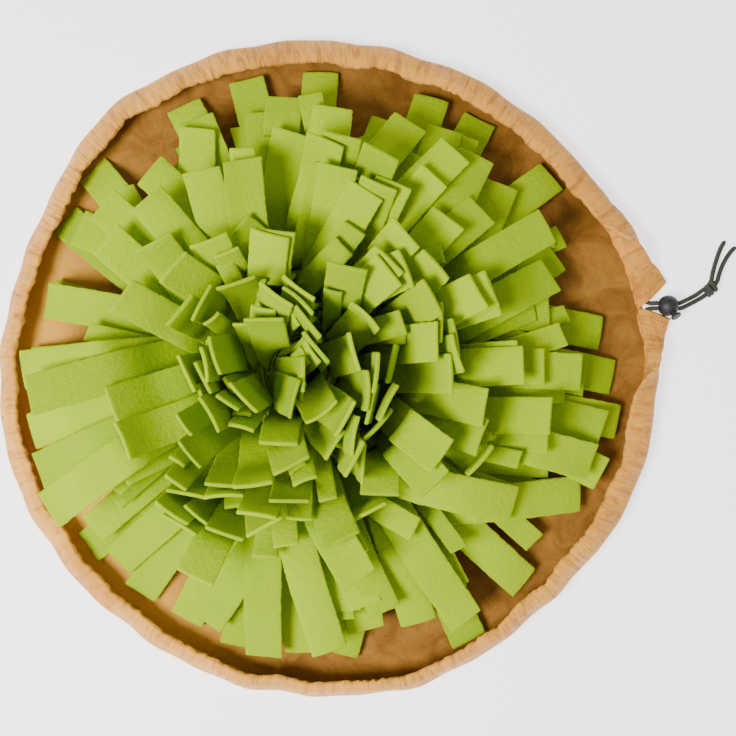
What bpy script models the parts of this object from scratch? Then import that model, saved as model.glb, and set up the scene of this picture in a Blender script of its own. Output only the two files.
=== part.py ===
"""Treat mat: a round cloth base, a gathered drawstring rim and rings of standing fleece strips.

Lengths are worked out in millimetres about the middle of the base, +X to the cord lock's side
and +Z up. They become metres when a mesh is made, and the finished part is moved so that its
origin lies under the middle of its outline.
"""
import math
import random

import bmesh
import bpy
import numpy as np
from mathutils import Vector

MM = 0.001
GAP = 0.3

# Base panel and rim
PANEL_THICK = 2.0
PANEL_POINTS = 72
PANEL_MARGIN = 0.5
SEAM_INSET = 4.2
SEAM_Z = 3.4
SEAM_LEAN = 48.0
SLEEVE_WIDTH = 24.5
SLEEVE_RISE = 17.5
SLEEVE_STEPS = 40
FLAT_Z = 4.1
FLAT_LEAN = -3.0
FLAT_WIDTH = 20.0
PLY = 1.0

# Rim by bearing: outermost radius of the sleeve, and how far its top edge is drawn in from there
RIM = (
    # bearing_deg, bulge_radius, crest_inset
    (11, 215.6, 16.0), (23, 213.6, 16.0), (41, 215.4, 16.4), (62, 215.2, 16.3), (84, 217.9, 16.4),
    (107, 223.3, 16.4), (120, 225.4, 16.0), (133, 228.0, 16.0), (144, 221.0, 14.5),
    (156, 217.1, 13.8), (178, 222.6, 13.3), (199, 224.6, 14.5), (219, 220.7, 15.0),
    (234, 216.2, 13.7), (250, 219.7, 12.0), (283, 221.8, 10.6), (308, 216.5, 13.0),
    (332, 215.4, 16.2), (345, 218.5, 16.6), (356, 217.4, 16.6),
)
UPPER_END = 11.3
LOWER_END = 370.65
HEM_SKEW_UPPER = 3.25
HEM_SKEW_LOWER = -2.7
HEM_CURVE = 0.6

# Drawstring, cord lock and tails
CORD_RADIUS = 1.6
CORD_AT = 0.80
CORD_AT_MOUTH = 0.25
STRAIGHT_RUN = 1.5
LOCK_CENTRE = Vector((226.3, 41.3, 7.4))
LOCK_RADIUS = 7.1
LOCK_FLAT = 5.9
CORD_SPREAD = 1.8
BUTTON_BEARING = -62.0
BUTTON_TILT = 30.0
BUTTON_FLAT = 6.3
BUTTON_BORE = 2.5
BUTTON_STEM = 2.1
BUTTON_CAP = 3.6
BUTTON_TRAVEL = 2.0
KNOT_CENTRE = Vector((256.1, 53.2, 4.5))
KNOT_SIZE = (5.3, 4.5, 4.1)
KNOT_BEARING = 28.0

# Fleece strips
STRIP_THICK = 2.0
STRIP_WIDTH = 22.5
STRIP_LENGTH = 88.0
WALL_BOTTOM = PANEL_THICK + GAP
WALL_TOP = 5.3
RING_PITCH = 6.5
RING_FIRST = 12.5
RING_COUNT = 17
RING_FILL = 0.85
HAND_RINGS = 9
PILE_PASSES = 3
SEED = 11
OUTER_CENTRE = Vector((-10.0, 1.0))
INNER_CENTRE = Vector((-19.0, -3.0))
CROWN = Vector((-54.0, -3.0))
ROW_AT = (0.0, 0.08, 0.32, 0.64, 1.0)
TWIST_AT = (0.0, 0.4, 0.85, 1.0, 1.0)
BOW_AT = (1.0, 0.8, 0.45, 0.3, 0.2)
BOWED_BELOW = 45.0

# How a strip of the pile is turned and shortened, in order, until it finds room
PILE_TRIES = (
    # turn_deg, share of its length
    (0, 1.0), (14, 1.0), (-14, 1.0), (28, 0.92), (-28, 0.92), (45, 0.85), (-45, 0.85), (0, 0.75),
)

# Slope of each length of a strip, in degrees, by how far out it stands
SLOPES = (
    # spread, first, second, third, last
    (0.00, 87, 86, 85, 83),
    (0.35, 84, 75, 60, 46),
    (0.70, 77, 50, 25, 9),
    (1.00, 62, 20, -8, -18),
)

# Strips that lie in sight round the edge, lowest first: middle of the tip, and the way it points
EDGE_STRIPS = (
    # tip_x, tip_y, heading_deg
    (-8, 200, 87), (-58, 193, 105), (-101, 177, 118), (-164, 135, 132), (-186, 103, 142),
    (-203, 51, 165), (-212, 1, 184), (-207, -46, 200), (-195, -70, 204), (-180, -94, 216),
    (-165, -122, 219), (-130, -152, 234), (-99, -171, 242), (-65, -191, 256), (-19, -190, 277),
    (6, -194, 256), (23, -174, 281), (92, -184, 294), (135, -151, 317), (170, -85, 4),
    (185, -74, 334), (192, -37, 349), (190, -7, 349), (181, 23, 350), (149, 74, 33),
    (148, 129, 37), (100, 168, 62), (67, 181, 72), (112, 120, 66), (20, 157, 110),
    (57, -166, 287), (-14, 161, 88), (-46, 167, 98), (-95, 153, 120), (-150, 93, 140),
    (-188, 44, 170), (-194, -2, 187), (-188, -19, 197), (-164, -34, 199), (-156, -57, 201),
    (-144, -130, 221), (-82, -167, 236), (-44, -189, 269), (0, -187, 286), (35, -156, 302),
    (87, -164, 303), (135, -93, 347), (178, -40, 346), (170, -62, 345), (166, -7, 348),
    (142, 35, 358), (137, 89, 30), (145, 61, 28), (75, 156, 70), (94, 136, 64),
    (51, 157, 52), (-114, 113, 131), (153, -12, 0), (44, -126, 298),
)

# Strips that stand edge on at the crown, where the pile parts
CROWN_STRIPS = (
    # ring, bearing_deg
    (3, 160), (3, 203), (4, 175), (4, 211), (5, 165), (5, 196), (6, 178), (6, 205), (7, 168),
    (7, 192), (8, 180), (8, 201),
)

COLOURS = {
    "fleece": ((0.42, 0.68, 0.02), 0.95), "panel": ((0.50, 0.26, 0.10), 0.9),
    "casing": ((0.78, 0.50, 0.28), 0.6), "cord": ((0.05, 0.05, 0.035), 0.8),
    "lock": ((0.02, 0.02, 0.022), 0.45),
}


def smoothstep(low, high, value):
    t = np.clip((value - low) / (high - low), 0.0, 1.0)
    return t * t * (3 - 2 * t)


def unit(bearing):
    return Vector((math.cos(math.radians(bearing)), math.sin(math.radians(bearing))))


def clear_scene():
    for old in list(bpy.data.objects):
        bpy.data.objects.remove(old, do_unlink=True)


def new_collection(name):
    collection = bpy.data.collections.new(name)
    bpy.context.scene.collection.children.link(collection)
    return collection


def make_material(kind):
    colour, roughness = COLOURS[kind]
    material = bpy.data.materials.new("mat_" + kind)
    material.use_nodes = True
    shader = material.node_tree.nodes["Principled BSDF"]
    shader.inputs["Base Color"].default_value = (*colour, 1.0)
    shader.inputs["Roughness"].default_value = roughness
    shader.inputs["Metallic"].default_value = 0.0
    return material


def mesh_object(name, points, faces, material, collection, thickness=0.0):
    mesh = bpy.data.meshes.new(name)
    mesh.from_pydata([Vector(p) * MM for p in points], [], faces)
    mesh.validate()
    mesh.materials.append(material)
    mesh.shade_smooth()
    obj = bpy.data.objects.new(name, mesh)
    collection.objects.link(obj)
    if thickness:
        shell = obj.modifiers.new("thickness", "SOLIDIFY")
        shell.thickness = thickness * MM
        shell.offset = 0.0
        shell.use_quality_normals = True
    return obj


def tube_object(name, points, radius, sides_level, material, collection):
    curve = bpy.data.curves.new(name, "CURVE")
    curve.dimensions = "3D"
    curve.bevel_depth = radius * MM
    curve.bevel_resolution = sides_level
    curve.use_fill_caps = True
    spline = curve.splines.new("POLY")
    spline.points.add(len(points) - 1)
    for control, point in zip(spline.points, points):
        control.co = (*(Vector(point) * MM), 1.0)
    curve.materials.append(material)
    obj = bpy.data.objects.new(name, curve)
    collection.objects.link(obj)
    return obj


def smooth_route(route, spacing):
    """Evenly spaced points on a Catmull-Rom curve through the route's own points."""
    knots = [Vector(p) for p in route]
    knots = [2 * knots[0] - knots[1]] + knots + [2 * knots[-1] - knots[-2]]
    dense = []
    for a, b, c, d in zip(knots, knots[1:], knots[2:], knots[3:]):
        for step in range(24):
            t = step / 24
            dense.append(0.5 * (2 * b + (c - a) * t + (2 * a - 5 * b + 4 * c - d) * t * t
                                + (3 * b - a - 3 * c + d) * t ** 3))
    dense.append(knots[-2])
    dense = np.array(dense)
    along = np.concatenate([[0.0], np.cumsum(np.linalg.norm(np.diff(dense, axis=0), axis=1))])
    count = max(4, round(along[-1] / spacing) + 1)
    wanted = np.linspace(0.0, along[-1], count)
    return np.stack([np.interp(wanted, along, dense[:, axis]) for axis in range(3)], axis=1)


# Rim

def rim_at(bearings):
    """Bulge radius and crest inset at each bearing, with the table's corners rounded off."""
    table = np.array(RIM)
    spread = np.linspace(-6.0, 6.0, 7)
    weight = np.exp(-(spread / 3.5) ** 2)
    weight /= weight.sum()
    bulge = np.zeros(len(bearings))
    inset = np.zeros(len(bearings))
    for offset, share in zip(spread, weight):
        bulge += share * np.interp(bearings + offset, table[:, 0], table[:, 1], period=360)
        inset += share * np.interp(bearings + offset, table[:, 0], table[:, 2], period=360)
    turn = np.radians(bearings)
    bulge += 0.6 * np.sin(23 * turn + 0.7) + 0.4 * np.sin(37 * turn)
    inset += 0.5 * np.sin(29 * turn + 1.9)
    return bulge, inset


def seam_radius(bearings):
    return rim_at(bearings)[0] - SEAM_INSET


def sleeve_stations():
    """Bearings of the sleeve's sections, closer together where it lies flat at the opening."""
    return np.concatenate([np.linspace(UPPER_END, 28.5, 11), np.linspace(33.0, 345.0, 50),
                           np.linspace(349.5, LOWER_END, 15)])


def flatness(stations):
    """1 where the sleeve lies flat by the opening, 0 where it stands and is drawn in."""
    return (1 - smoothstep(3.0, 17.0, stations - UPPER_END)
            + 1 - smoothstep(3.0, 18.0, LOWER_END - stations))


def sleeve_sections(stations):
    """Radius, height and lean of the sleeve's middle line, in even steps from seam to crest."""
    bulge, inset = rim_at(stations)
    flat = flatness(stations)[:, None]
    top_lean = 180.0 - np.degrees(np.arccos(inset / SLEEVE_RISE))[:, None]
    share = np.linspace(0.0, 1.0, SLEEVE_STEPS + 1)
    upright = SEAM_LEAN + (top_lean - SEAM_LEAN) * smoothstep(0.12, 0.5, share)
    lean = np.radians(upright * (1 - flat) + FLAT_LEAN * flat)
    scrunched = 1 - 0.8 * flat * (1 - flat)
    step = (SLEEVE_WIDTH * (1 - flat) + FLAT_WIDTH * flat) * scrunched / SLEEVE_STEPS
    between = (lean[:, 1:] + lean[:, :-1]) / 2
    out = np.cumsum(np.cos(between) * step, axis=1)
    up = np.cumsum(np.sin(between) * step, axis=1)
    start = np.zeros((len(stations), 1))
    radius = (bulge - SEAM_INSET)[:, None] + np.concatenate([start, out], axis=1)
    height = SEAM_Z * (1 - flat) + FLAT_Z * flat + np.concatenate([start, up], axis=1)
    return radius, height, lean


def sleeve_point(stations, share, lift):
    """Points at one share of the sleeve's width, lifted off its middle line by lift."""
    steps = np.linspace(0.0, 1.0, SLEEVE_STEPS + 1)
    radius, height, lean = (
        np.array([np.interp(at, steps, line) for at, line in zip(share, grid)])
        for grid in sleeve_sections(stations))
    radius = radius - lift * np.sin(lean)
    height = height + lift * np.cos(lean)
    skew = (HEM_SKEW_UPPER * (1 - smoothstep(0.0, 10.0, stations - UPPER_END))
            + HEM_SKEW_LOWER * (1 - smoothstep(0.0, 9.0, LOWER_END - stations)))
    turn = np.radians(stations + skew * share ** HEM_CURVE)
    return np.stack([radius * np.cos(turn), radius * np.sin(turn), height], axis=1)


def cord_share(stations):
    """Where the drawstring lies across the sleeve: by the crest, and by the seam at the mouths."""
    near_mouth = (1 - smoothstep(2.0, 32.0, stations - UPPER_END)
                  + 1 - smoothstep(2.0, 32.0, LOWER_END - stations))
    return CORD_AT + (CORD_AT_MOUTH - CORD_AT) * near_mouth


def make_casing(material, collection):
    """The sleeve: one closed loop of cloth in section, swept from one hem to the other."""
    stations = sleeve_stations()
    cord = cord_share(stations)
    flat = flatness(stations)
    channel = 3.0 + 5.5 * flat * (1 - flat)
    loop = [
        # share of the width, half the space between the two plies' middles
        (0.0 * cord, 0.9), (0.25 * cord, 1.1), (0.53 * cord, 2.2), (cord, channel), (cord ** 0, 0.9),
    ]
    rings = [sleeve_point(stations, share, half) for share, half in loop]
    rings += [sleeve_point(stations, share, -half) for share, half in reversed(loop)]
    around = len(rings)
    points = [ring[s] for s in range(len(stations)) for ring in rings]
    faces = []
    for s in range(len(stations) - 1):
        for k in range(around):
            j = (k + 1) % around
            faces.append((s * around + k, s * around + j, (s + 1) * around + j,
                          (s + 1) * around + k))
    return mesh_object("rim_casing", points, faces, material, collection, PLY)


def make_panel(material, collection):
    """The base cloth, flat on the surface out to the seam."""
    bearings = np.arange(PANEL_POINTS) * 360.0 / PANEL_POINTS
    edge = seam_radius(bearings) + PANEL_MARGIN
    points = [(*(unit(bearing) * radius), PANEL_THICK / 2)
              for bearing, radius in zip(bearings, edge)]
    outline = [tuple(range(PANEL_POINTS))]
    obj = mesh_object("base_panel", points, outline, material, collection, PANEL_THICK)
    obj.data.set_sharp_from_angle(angle=math.radians(40))
    return obj


# Cord lock, drawstring and tails

def make_drawstring(material, collection):
    stations = sleeve_stations()
    inside = sleeve_point(stations, cord_share(stations), 0.0)
    face = LOCK_CENTRE - Vector((LOCK_FLAT + GAP, 0.0, 0.0))
    ends = []
    for side, mouth in ((1.0, inside[:2]), (-1.0, inside[:-3:-1])):
        entry = face + Vector((0.0, side * CORD_SPREAD, 0.0))
        straight = entry - Vector((STRAIGHT_RUN, 0.0, 0.0))
        bend = straight.lerp(Vector(mouth[0]), 0.5) + Vector((-0.8, -0.8 * side, -0.2))
        ends.append([entry, *smooth_route([straight, bend, *mouth], 1.6)])
    route = np.concatenate([ends[0][:-1], inside[1:-1], ends[1][-2::-1]])
    return tube_object("drawstring", route, CORD_RADIUS, 1, material, collection)


def lathe(name, profile, steps, material, collection):
    """A turned shape: profile rows are radius and place along the axis, which becomes +Z."""
    mesh = bpy.data.meshes.new(name)
    points = [(radius * MM, 0.0, along * MM) for radius, along in profile]
    edges = [(i, i + 1) for i in range(len(points) - 1)]
    mesh.from_pydata(points, edges, [])
    mesh.materials.append(material)
    obj = bpy.data.objects.new(name, mesh)
    collection.objects.link(obj)
    screw = obj.modifiers.new("turn", "SCREW")
    screw.axis = "Z"
    screw.steps = steps
    screw.render_steps = steps
    screw.use_merge_vertices = True
    screw.merge_threshold = 0.00001
    screw.use_smooth_shade = True
    return obj


def aim(obj, centre, direction):
    obj.location = centre * MM
    obj.rotation_mode = "QUATERNION"
    obj.rotation_quaternion = direction.to_track_quat("Z", "Y")


def button_axis():
    flat = unit(BUTTON_BEARING) * math.cos(math.radians(BUTTON_TILT))
    return Vector((flat.x, flat.y, math.sin(math.radians(BUTTON_TILT))))


def make_lock(material, collection, cutters):
    edge = math.acos(LOCK_FLAT / LOCK_RADIUS)
    profile = [(0.0, LOCK_FLAT)]
    for angle in np.linspace(edge, math.pi - edge, 7):
        profile.append((LOCK_RADIUS * math.sin(angle), LOCK_RADIUS * math.cos(angle)))
    profile.append((0.0, -LOCK_FLAT))
    body = lathe("lock_body", profile, 18, material, collection)
    aim(body, LOCK_CENTRE, Vector((1.0, 0.0, 0.0)))
    bore_end = BUTTON_FLAT - 4.9
    cut_profile = [(0.0, 12.0), (7.0, 12.0), (7.0, BUTTON_FLAT), (BUTTON_BORE, BUTTON_FLAT),
                   (BUTTON_BORE, bore_end), (0.0, bore_end)]
    cutter = lathe("button_bore_cutter", cut_profile, 16, material, cutters)
    aim(cutter, LOCK_CENTRE, button_axis())
    cutter.hide_render = True
    cutter.display_type = "WIRE"
    cut = body.modifiers.new("button_bore", "BOOLEAN")
    cut.operation = "DIFFERENCE"
    cut.solver = "EXACT"
    cut.object = cutter
    cap_from = BUTTON_FLAT + BUTTON_TRAVEL + GAP
    stem_end = bore_end + BUTTON_TRAVEL + 0.4
    button_profile = [(0.0, cap_from + 1.8), (BUTTON_CAP - 0.5, cap_from + 1.8),
                      (BUTTON_CAP, cap_from + 1.3), (BUTTON_CAP, cap_from),
                      (BUTTON_STEM, cap_from), (BUTTON_STEM, stem_end), (0.0, stem_end)]
    button = lathe("lock_button", button_profile, 16, material, collection)
    aim(button, LOCK_CENTRE, button_axis())


def make_knot(material, collection):
    """Two rounded lobes of a pulled-tight overhand knot, parted by a slanting crease."""
    mesh = bpy.data.meshes.new("cord_knot")
    shape = bmesh.new()
    bmesh.ops.create_uvsphere(shape, u_segments=14, v_segments=9, radius=1.0)
    crease = Vector((0.80, 0.60, 0.0))
    for vert in shape.verts:
        off = vert.co.dot(crease) - 0.22
        vert.co *= 1.0 - 0.16 * math.exp(-(off / 0.16) ** 2)
        vert.co = Vector((vert.co.x * KNOT_SIZE[0], vert.co.y * KNOT_SIZE[1],
                          vert.co.z * KNOT_SIZE[2])) * MM
    shape.to_mesh(mesh)
    shape.free()
    mesh.materials.append(material)
    mesh.shade_smooth()
    obj = bpy.data.objects.new("cord_knot", mesh)
    collection.objects.link(obj)
    obj.location = KNOT_CENTRE * MM
    obj.rotation_euler = (0.0, 0.0, math.radians(KNOT_BEARING))
    return obj


def make_free_cords(material, collection):
    upper_start = LOCK_CENTRE + Vector((LOCK_FLAT + GAP, CORD_SPREAD, 0.0))
    lower_start = LOCK_CENTRE + Vector((LOCK_FLAT + GAP, -CORD_SPREAD, 0.0))
    routes = {
        "cord_upper_lead": [upper_start, (236.4, 44.1, 6.9), (241.6, 46.5, 5.4), (246.4, 49.0, 4.4),
                            (249.9, 51.6, 4.2)],
        "cord_lower_lead": [lower_start, (236.6, 40.2, 6.7), (242.2, 42.8, 5.0), (247.6, 45.6, 4.0),
                            (251.4, 47.9, 3.9)],
        "cord_upper_tail": [(256.3, 58.3, 4.3), (257.4, 62.6, 3.6), (259.2, 68.6, 2.7),
                            (261.4, 75.0, 2.1), (263.6, 80.6, 1.9), (266.5, 85.7, 1.8)],
        "cord_lower_tail": [(260.3, 57.9, 4.3), (261.8, 62.0, 3.5), (264.0, 67.6, 2.6),
                            (267.0, 73.2, 2.0), (270.4, 78.2, 1.9), (273.9, 81.6, 1.8)],
    }
    for name, route in routes.items():
        start = Vector(route[0])
        ahead = Vector(route[1]) - start
        if name.endswith("lead"):
            ahead = Vector((1.0, 0.0, 0.0))
        straight = start + ahead.normalized() * STRAIGHT_RUN
        points = [start, *smooth_route([straight, *route[1:]], 3.4)]
        tube_object(name, points, CORD_RADIUS, 2, material, collection)


# Fleece strips

class Heights:
    """For each cell of a plan grid, the lowest height that the middle of a strip may take."""

    CELL = 1.0
    HALF = 236.0
    REACH = 2.9

    def __init__(self):
        count = int(2 * self.HALF / self.CELL)
        self.low = np.full((count, count), PANEL_THICK + GAP + STRIP_THICK / 2 + 0.05)
        steps = int(self.REACH / self.CELL) + 1
        self.ball = []
        for i in range(-steps, steps + 1):
            for j in range(-steps, steps + 1):
                off = math.hypot(i, j) * self.CELL
                if off < self.REACH:
                    self.ball.append((i, j, math.sqrt(self.REACH ** 2 - off ** 2)))

    def cells(self, points):
        index = ((points[:, :2] + self.HALF) / self.CELL).astype(int)
        return index[:, 0], index[:, 1]

    def add(self, points):
        x, y = self.cells(points)
        for i, j, rise in self.ball:
            np.maximum.at(self.low, (x + i, y + j), points[:, 2] + rise)

    def room(self, points):
        """Smallest height of any of the points over what lies below it."""
        x, y = self.cells(points)
        return float((points[:, 2] - self.low[x, y]).min())


def samples(row_a, row_b):
    """Points about 1 mm apart all over the cloth between two rows of a strip."""
    found = []
    for a0, a1, b0, b1 in zip(row_a, row_a[1:], row_b, row_b[1:]):
        across = int(np.linalg.norm(a1 - a0) / Heights.CELL) + 2
        along = int(np.linalg.norm(b0 - a0) / Heights.CELL) + 2
        u = np.linspace(0, 1, across)[:, None, None]
        v = np.linspace(0, 1, along)[None, :, None]
        patch = (a0 * (1 - u) + a1 * u) * (1 - v) + (b0 * (1 - u) + b1 * u) * v
        found.append(patch.reshape(-1, 3))
    return np.concatenate(found)


def ring_radius(ring):
    return RING_FIRST + RING_PITCH * ring


def ring_centre(ring):
    return INNER_CENTRE.lerp(OUTER_CENTRE, ring / (RING_COUNT - 1))


def wall_point(ring, bearing, z):
    place = ring_centre(ring) + unit(bearing) * ring_radius(ring)
    return np.array((place.x, place.y, z))


def half_angle(ring, width):
    return math.degrees(math.asin(width / 2 / ring_radius(ring)))


def root_row(ring, bearing, width):
    """The strip's row on top of its ring's wall, with a middle point where the ring is tight."""
    half = half_angle(ring, width)
    turns = (-half, 0, half) if ring_radius(ring) < BOWED_BELOW else (-half, half)
    return [wall_point(ring, bearing + turn, WALL_TOP) for turn in turns]


def wrap(angle, half_turn):
    return (angle + half_turn) % (2 * half_turn) - half_turn


def lay_strip(heights, ring, bearing, heading, length, width, slopes, roll):
    """Rows of points up a strip. Each length leans as its slope says, or rests on what is below."""
    rows = [root_row(ring, bearing, width)]
    radial = unit(bearing)
    place = ring_centre(ring) + radial * (ring_radius(ring) * math.cos(
        math.radians(half_angle(ring, width))))
    centre = np.array((place.x, place.y, WALL_TOP))
    sagitta = ring_radius(ring) - math.hypot(*(place - ring_centre(ring)))
    ahead = unit(heading)
    turn = wrap(heading - bearing, 90.0)
    last_slope = 85.0
    for k in range(1, len(ROW_AT)):
        run = (ROW_AT[k] - ROW_AT[k - 1]) * length
        side = unit(bearing + 90.0 + turn * TWIST_AT[k])
        tilt = math.radians(roll * min(1.0, (k - 1) / 3))
        across = np.array((side.x * math.cos(tilt), side.y * math.cos(tilt), math.sin(tilt)))
        slope = max(slopes[k - 1], last_slope - 48.0)
        while slope <= 100.0:
            rise = math.radians(slope)
            flat = ahead * math.cos(rise)
            tip = centre + run * np.array((flat.x, flat.y, math.sin(rise)))
            row = [tip - across * width / 2, tip + across * width / 2]
            if len(rows[0]) == 3:
                bow = radial * sagitta * BOW_AT[k]
                row.insert(1, tip + np.array((bow.x, bow.y, 0.0)))
            if k == 1 or heights.room(samples(rows[-1], row)) >= 0.0:
                break
            slope += 2.5
        else:
            return None
        rows.append(row)
        centre = tip
        last_slope = slope
    if heights.room(np.array(rows[1])) < -1.0:
        return None
    return rows


def slopes_at(spread):
    table = np.array(SLOPES, dtype=float)
    return [np.interp(spread, table[:, 0], table[:, column]) for column in range(1, len(ROW_AT))]


def free_on_ring(taken, bearing, half):
    return all(abs(wrap(bearing - other, 180.0)) > half + other_half + 1.0
               for other, other_half in taken)


def free_bearings(taken, half, dice):
    """Bearings for more strips on a ring, spread over the room that its strips leave."""
    pitch = 2 * half / RING_FILL
    if not taken:
        count = min(round(360.0 / pitch), int(360.0 / (2 * half + 1.0)))
        first = dice.uniform(0.0, 360.0)
        slack = max(0.0, 180.0 / count - half - 1.0)
        return [first + 360.0 * index / count + dice.uniform(-slack, slack) * 0.7
                for index in range(count)]
    found = []
    taken = sorted(taken)
    for (before, before_half), (after, after_half) in zip(taken, taken[1:] + taken[:1]):
        low = before + before_half + half + 1.0
        clear = (after - before) % 360.0 or 360.0
        room = clear - before_half - after_half - 2 * half - 2.0
        if room < 0.0:
            continue
        count = int(room / pitch) + 1
        if count == 1:
            found.append(low + room / 2)
        else:
            found += [low + room * index / (count - 1) for index in range(count)]
    return found


def inside_rim(rows):
    """True where no row of a strip comes against the sleeve."""
    points = np.concatenate(rows)
    radius = np.hypot(points[:, 0], points[:, 1])
    bulge, inset = rim_at(np.degrees(np.arctan2(points[:, 1], points[:, 0])))
    limit = np.where(points[:, 2] < 7.5, bulge - SEAM_INSET - 3.0, bulge - inset - 5.5)
    return bool((radius < limit).all())


def add_strip(heights, ring_strips, ring, bearing, rows, half):
    for row_a, row_b in zip(rows, rows[1:]):
        heights.add(samples(row_a, row_b))
    ring_strips[ring].append((bearing % 360.0, half, rows))


def lay_edge_strips(heights, ring_strips, dice):
    """Strips round the edge, each rooted where a line back from its tip meets its ring."""
    for tip_x, tip_y, heading in EDGE_STRIPS:
        ahead = unit(heading)
        width = STRIP_WIDTH + dice.uniform(-0.6, 0.6)
        for ring in range(RING_COUNT - 1, RING_COUNT - 1 - HAND_RINGS, -1):
            back = Vector((tip_x, tip_y)) - ring_centre(ring)
            along = back.dot(ahead)
            inside = along ** 2 - back.length_squared + ring_radius(ring) ** 2
            if inside <= 0:
                continue
            run = along - math.sqrt(inside)
            root = back - ahead * run
            bearing = math.degrees(math.atan2(root.y, root.x))
            half = half_angle(ring, width)
            taken = [(b, h) for b, h, _ in ring_strips[ring]]
            if not free_on_ring(taken, bearing, half):
                continue
            for shorten in (1.0, 0.95, 0.9, 0.85, 0.8):
                rows = lay_strip(heights, ring, bearing, heading, (run + 7.0) * shorten, width,
                                 slopes_at(1.0), 0.0)
                if rows and inside_rim(rows):
                    break
            if rows and inside_rim(rows):
                add_strip(heights, ring_strips, ring, bearing, rows, half)
                break


def lay_pile_strips(heights, ring_strips, dice):
    """The rest of the pile, laid from the edge in, leaning away from the crown."""
    queue = []
    for ring in range(RING_COUNT):
        spread = ring / (RING_COUNT - 1)
        focus = CROWN.lerp(ring_centre(ring), spread ** 1.6)
        half = half_angle(ring, STRIP_WIDTH)
        taken = [(bearing, half) for bearing, half, _ in ring_strips[ring]]
        for place, bearing in CROWN_STRIPS:
            if place == ring and free_on_ring(taken, bearing, half):
                taken.append((bearing, half))
                queue.append((0.0, ring, bearing, bearing + dice.gauss(0.0, 5.0),
                              STRIP_LENGTH + dice.uniform(-6, 3), 0.0, 0.0))
        for bearing in free_bearings(taken, half, dice):
            root = wall_point(ring, bearing, 0.0)
            away = Vector((root[0], root[1])) - focus
            heading = math.degrees(math.atan2(away.y, away.x)) + dice.gauss(0.0, 13.0)
            queue.append((away.length, ring, bearing, heading, STRIP_LENGTH + dice.uniform(-9, 9),
                          dice.uniform(-7.0, 7.0), dice.uniform(-0.07, 0.07)))
    queue.sort(key=lambda strip: -strip[0])
    for away, ring, bearing, heading, length, roll, change in queue:
        half = half_angle(ring, STRIP_WIDTH)
        slopes = slopes_at(min(1.0, max(0.0, away / ring_radius(RING_COUNT - 1) + change)))
        for turn, shorten in PILE_TRIES:
            rows = lay_strip(heights, ring, bearing, heading + turn, length * shorten, STRIP_WIDTH,
                             slopes, roll)
            if rows and inside_rim(rows):
                add_strip(heights, ring_strips, ring, bearing, rows, half)
                break


def add_walls(heights):
    for ring in range(RING_COUNT):
        turns = np.arange(0.0, 360.0, 70.0 / ring_radius(ring))
        heights.add(np.array([wall_point(ring, turn, WALL_TOP) for turn in turns]))


def make_band(ring, strips, material, collection):
    """One ring of fleece: a low wall with its strips rising from the wall's top edge."""
    points = []
    top = []
    joints = []
    strips = sorted(strips, key=lambda strip: strip[0])
    for index, (bearing, half, rows) in enumerate(strips):
        first = len(points)
        points += rows[0]
        top += list(range(first, first + len(rows[0])))
        joints.append(first)
        following, following_half, _ = strips[(index + 1) % len(strips)]
        clear = (following - bearing) % 360.0 if len(strips) > 1 else 360.0
        clear -= half + following_half
        extra = max(1, int(clear * math.radians(ring_radius(ring)) / 24.0))
        for step in range(1, extra + 1):
            top.append(len(points))
            points.append(wall_point(ring, bearing + half + clear * step / (extra + 1), WALL_TOP))
    bottom = {}
    for corner in top:
        bottom[corner] = len(points)
        points.append(np.array((*points[corner][:2], WALL_BOTTOM)))
    faces = []
    for a, b in zip(top, top[1:] + top[:1]):
        faces.append((bottom[a], bottom[b], b, a))
    for first, (_, _, rows) in zip(joints, strips):
        below = list(range(first, first + len(rows[0])))
        for row in rows[1:]:
            above = list(range(len(points), len(points) + len(row)))
            points += row
            for a, b, c, d in zip(below, below[1:], above[1:], above):
                faces.append((a, b, c, d))
            below = above
    name = "fleece_band_%02d" % (ring + 1)
    mesh_object(name, points, faces, material, collection, STRIP_THICK)


def make_fleece(material, collection):
    dice = random.Random(SEED)
    heights = Heights()
    add_walls(heights)
    ring_strips = [[] for _ in range(RING_COUNT)]
    lay_edge_strips(heights, ring_strips, dice)
    for _ in range(PILE_PASSES):
        lay_pile_strips(heights, ring_strips, dice)
    for ring, strips in enumerate(ring_strips):
        make_band(ring, strips, material, collection)


def centre_on_outline(collection):
    """Moves every piece so that the origin is under the middle of the part without its cords."""
    bpy.context.view_layer.update()
    graph = bpy.context.evaluated_depsgraph_get()
    low = np.full(3, np.inf)
    high = np.full(3, -np.inf)
    for obj in collection.objects:
        if obj.name.startswith("cord_"):
            continue
        solid = obj.evaluated_get(graph)
        mesh = solid.to_mesh()
        corners = np.array([solid.matrix_world @ vert.co for vert in mesh.vertices])
        solid.to_mesh_clear()
        low = np.minimum(low, corners.min(axis=0))
        high = np.maximum(high, corners.max(axis=0))
    shift = Vector((-(low[0] + high[0]) / 2, -(low[1] + high[1]) / 2, -low[2]))
    for obj in list(collection.objects):
        obj.location = obj.location + shift
    return shift


def main():
    clear_scene()
    collection = new_collection("treat_mat")
    cutters = new_collection("cutters")
    materials = {kind: make_material(kind) for kind in COLOURS}
    make_panel(materials["panel"], collection)
    make_casing(materials["casing"], collection)
    make_drawstring(materials["cord"], collection)
    make_lock(materials["lock"], collection, cutters)
    make_knot(materials["cord"], collection)
    make_free_cords(materials["cord"], collection)
    make_fleece(materials["fleece"], collection)
    shift = centre_on_outline(collection)
    for cutter in cutters.objects:
        cutter.location = cutter.location + shift


main()
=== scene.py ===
"""Looks of the treat mat: fleece pile, brushed base cloth, gathered rim, cord lock and cords.

Lengths are worked out in millimetres about the middle of the base, as the part's own source does,
with +X to the cord lock's side and +Z up. SHIFT takes them to the frame's origin, in metres.
The fleece strips are laid by the same rules and the same seed as the solids, then given their
soft curves, cut edges and pile.
"""

import math
import random

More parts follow.
